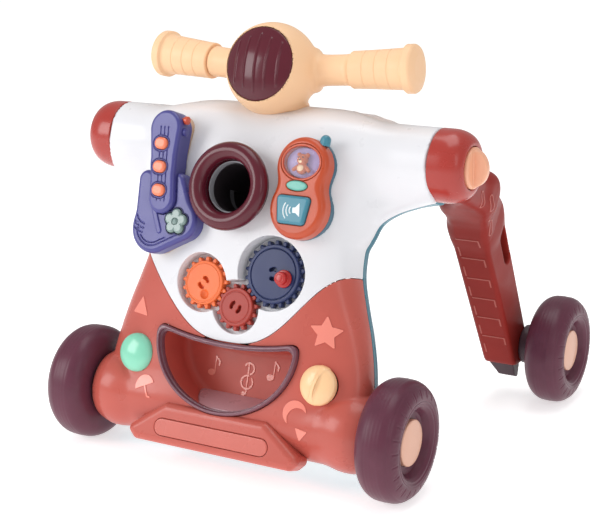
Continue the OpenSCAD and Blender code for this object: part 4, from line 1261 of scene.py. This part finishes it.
def antenna_field(p):
    solid = stick(p, (87, 264, 59), (88, 273, 59), 5.5, 5.2)
    groove = stick(p, (87.2, 268, 65), (87.8, 272.5, 65), 1.1)
    return meet(carve(solid, groove, 0.6), 267 - p[:, 1], 0.6)


piece("antenna_stub", shaded(antenna_field, (79, 264, 51), (96, 288, 67), 0.7), "phone_antenna")


def window_field(p):
    q = p[:, :2]
    z = p[:, 2] - 66
    d = oval(q, WINDOW, 19.2, 15.2)
    k = np.hypot((q[:, 0] - WINDOW[0]) / 19.2, (q[:, 1] - WINDOW[1]) / 15.2)
    crown = np.sqrt(np.maximum(0, 1 - k ** 2))
    outer = np.maximum(d, z - 1.5 - 7.5 * crown)
    inner = np.maximum(d + 1.6, z - 0.2 - 6.6 * crown)
    return np.maximum(meet(outer, -z, 0.5), -inner)


piece("window_bubble", shaded(window_field, (49, 232, 65), (91, 266, 77), 0.8), "phone_window")
card = flat(lambda q: oval(q, WINDOW, 19.0, 15.0), 60.0, 62.0, 0.4)
piece("window_card", shaded(card, (49, 232, 58), (91, 266, 64), 0.9), "phone_shell", stands=False, finish=LILAC)


def bear_field(p):
    q = p - (*WINDOW, 64.4)
    q[:, 0] = np.abs(q[:, 0])
    head, ears = ball(q, (0, 2.6, 1.4), 5.6), ball(q, (4.5, 7.2, 0.8), 2.3)
    trunk, arms = ball(q, (0, -6.4, 0.2), 5.2), stick(q, (3.5, -3.5, 1), (8.2, -7.5, 1.5), 1.9)
    return melt(melt(head, ears, 1), melt(trunk, arms, 1), 1)


def belly_field(p):
    q = p - (*WINDOW, 0)
    return np.minimum(ball(q, (0, -6.0, 66.4), 4.0), ball(q, (0, 1.2, 68.8), 2.7))


def eyes_field(p):
    """Two eyes and a nose."""
    q = p - (*WINDOW, 0)
    eyes = np.minimum(ball(q, (-2.3, 4.6, 70.4), 0.8), ball(q, (2.3, 4.6, 70.4), 0.8))
    return np.minimum(eyes, ball(q, (0, 2.0, 71.3), 0.9))


piece("bear_figure", shaded(bear_field, (58, 236, 57), (82, 260, 73), 0.6), "phone_bear")
piece("bear_belly", shaded(belly_field, (60, 238, 60), (80, 256, 73), 0.5), "phone_bear",
      stands=False, finish=CREAM)
piece("bear_eyes", shaded(eyes_field, (64, 248, 68), (76, 256, 74), 0.3), "phone_bear",
      stands=False, finish=FINISH["dark_plastic"])
lit = flat(lambda q: oval(q, LIGHT, 11.3, 4.9), 65.2, 69.6, 1.8)
piece("status_light", shaded(lit, (56, 219, 64), (82, 233, 71), 0.6), "phone_light", finish=MINT_SOFT)
key = flat(key_outline, 63.5, 71.5, 3.0)
piece("speaker_key", shaded(key, (47, 184, 62), (90, 220, 73), 0.7), "phone_speaker_button")


def speaker_icon(p):
    c, s = math.cos(0.12), math.sin(0.12)
    q = (p[:, :2] - [70.5, 202]) @ np.array([[c, -s], [s, c]]) / 1.15
    icon = np.minimum(many(q, [(0, -2), (0, 2), (2.6, 2), (6.2, 5.4), (6.2, -5.4), (2.6, -2)]) - 0.3,
                      np.min([path(q, arc((1.0, 0), r, 142, 218), 0.55) for r in (4.2, 7.2, 10.2)], axis=0))
    return plate(icon * 1.15, p[:, 2], 70.8, 71.8, 0.2)


piece("speaker_mark", shaded(speaker_icon, (56, 192, 70), (82, 212, 72.5), 0.45), "phone_speaker_button",
      stands=False, finish=MARK_WHITE)

# ================================================================ raised shapes on the panel and in the tray


def star(q, at, r, inner=0.45, points=5, turn=90):
    corners = []
    for i in range(2 * points):
        a = math.radians(turn + 180 * i / points)
        k = r if i % 2 == 0 else r * inner
        corners.append((at[0] + k * math.cos(a), at[1] + k * math.sin(a)))
    return many(q, corners) - 0.8


def crescent(q, at, r, turn):
    a = math.radians(turn)
    bite = at[0] + 0.5 * r * math.cos(a), at[1] + 0.5 * r * math.sin(a)
    return np.maximum(disc(q, at, r), -disc(q, bite, r * 0.86))


def triangle(q, at, r, turn):
    return star(q, at, r, 0.5, 3, turn)


def sunshade(q, at, r, turn):
    a = math.radians(turn)
    c, s = math.cos(a), math.sin(a)
    local = (q - at) @ np.array([[c, -s], [s, c]])
    half = np.maximum(disc(local, (0, 0), r), -local[:, 1])
    return np.minimum(half, path(local, [(0, 0), (0, -r), (2.5, -r - 1.5)], 1.0))


def raised(name, shape, at, reach, field, node, tall=0.8):
    """A flat shape drawn from in front, standing a little proud of a surface."""
    lifted = grown(field, tall)
    at = np.array(at)
    mesh = triangles(skin(lifted, at - (reach, reach, 14), at + (reach, reach, 14), 1.6))
    mesh = clip(mesh, lambda p: -shape(p[:, :2]) - 0.35, lifted, 0.7)
    piece(name, shell(mesh, lifted, 0.35, wall=tall + 0.3), node, stands=False, finish=MARK_RED)


# name, shape, centre, size and turn of the shape, reach of its mesh
for name, shape, at, size, reach in (("star_mark", star, (107.6, 90.5, 38), (15.5, 0.5), 18.5),
                                     ("moon_mark", crescent, (86.8, 9.5, 36), (12.5, -55), 15),
                                     ("wedge_mark", triangle, (96, -9, 34), (6.5, 20), 9),
                                     ("sunshade_mark", sunshade, (-90, 8, 36), (11.5, 25), 18),
                                     ("corner_mark", triangle, (-109.8, 86, 36), (11, 84), 14)):
    raised(name, lambda q: shape(q, at[:2], *size), at, reach, moulding, "front_lower_shell")


def note(q, at, k):
    x, y = at
    top = (x + 3 * k, y + 13 * k)
    flag = path(q, [top, (x + 7 * k, y + 9.5 * k), (x + 6.5 * k, y + 6.5 * k)], 0.9 * k)
    return np.min([oval(q, at, 3.6 * k, 2.8 * k), stick(q, (x + 3 * k, y), top, 0.7 * k), flag], axis=0)


def clef(q, at):
    x, y = at
    return np.min([path(q, [(x + 0.5, y - 16), (x, y + 16)], 1.0),
                   path(q, arc((x, y - 4.5), 6.8, 80, 400, 20), 1.15),
                   path(q, arc((x + 0.8, y + 9.5), 5.8, 150, -70, 14), 1.15),
                   disc(q, (x - 2.4, y - 16.5), 2.5)], axis=0)


for name, shape, at in (("note_mark_1", lambda q: note(q, (-43, 31), 1.25), (-39.7, 38)),
                        ("clef_mark", lambda q: clef(q, (0.7, 31.5)), (0.7, 31)),
                        ("note_mark_2", lambda q: note(q, (27, 36), 1.25), (30.3, 43))):
    raised(name, shape, (*at, TRAY_BACK), 19, liner_field, "tray_liner", 0.7)

# ================================================================ CAD pieces kept as they are
for node in ("ball_chute", "gear_plate", "front_axle", "shoulder_spindles", "speaker", "shell_screws",
             "left_rear_axle", "right_rear_axle"):
    obj = frame["nodes"][node]
    obj.data.materials.clear()
    obj.data.materials.append(FINISH[NODE_SLOT[node]])
    obj.data.polygons.foreach_set("use_smooth", [True] * len(obj.data.polygons))
    obj.data.set_sharp_from_angle(angle=math.radians(30))

# ================================================================ camera, light and floor
YAW, PITCH, ROLL = math.radians(30.06), math.radians(14.7), math.radians(-0.48)
CAMERA_AT = (0.76219, -1.35562, 0.58338)
back = Vector((math.sin(YAW) * math.cos(PITCH), -math.cos(YAW) * math.cos(PITCH), math.sin(PITCH)))
right = (-back).cross(Vector((0, 0, 1))).normalized()
up = right.cross(-back)
right = math.cos(ROLL) * right + math.sin(ROLL) * up
up = right.cross(-back)
camera = bpy.data.objects.new("camera", bpy.data.cameras.new("camera"))
camera.data.lens = 88.33
camera.data.sensor_width = 36
camera.matrix_world = Matrix((*zip(right, up, back, CAMERA_AT), (0, 0, 0, 1)))
bpy.context.scene.collection.objects.link(camera)
bpy.context.scene.camera = camera

world = bpy.data.worlds.new("studio")
world.use_nodes = True
world.node_tree.nodes["Background"].inputs["Color"].default_value = (1, 1, 1, 1)
world.node_tree.nodes["Background"].inputs["Strength"].default_value = 0.5
bpy.context.scene.world = world


def softbox(name, at, look, size, power, tint=(1, 1, 1)):
    lamp = bpy.data.lights.new(name, "AREA")
    lamp.shape = "RECTANGLE"
    lamp.size, lamp.size_y, lamp.energy, lamp.color = size[0], size[1], power, tint
    obj = bpy.data.objects.new(name, lamp)
    obj.location = at
    obj.rotation_mode = "QUATERNION"
    obj.rotation_quaternion = (Vector(look) - Vector(at)).to_track_quat("-Z", "Y")
    bpy.context.scene.collection.objects.link(obj)
    return obj


softbox("key_left", (-1.5, -1.9, 1.15), (0, -0.05, 0.2), (1.1, 1.3), 24)
softbox("fill_right", (1.8, -1.2, 1.2), (0, 0, 0.2), (0.5, 1.2), 3.5)
softbox("top", (0.1, 0.1, 2.0), (0, 0, 0.2), (1.4, 1.0), 12)

floor_points = [(x, y, -0.0004) for x, y in arc((0, 0), 12, 0, 352.5, 47)]
floor_mesh = bpy.data.meshes.new("floor")
floor_mesh.from_pydata(floor_points, [], [list(range(48))])
floor = bpy.data.objects.new("floor", floor_mesh)
paper = plastic("studio_paper", (250, 250, 250), 0.9, 0.004, 0.0)
paper.node_tree.nodes["Principled BSDF"].inputs["Emission Color"].default_value = (1, 1, 1, 1)
paper.node_tree.nodes["Principled BSDF"].inputs["Emission Strength"].default_value = 0.58
floor_mesh.materials.append(paper)
bpy.context.scene.collection.objects.link(floor)
bpy.context.scene.view_settings.view_transform = "Standard"
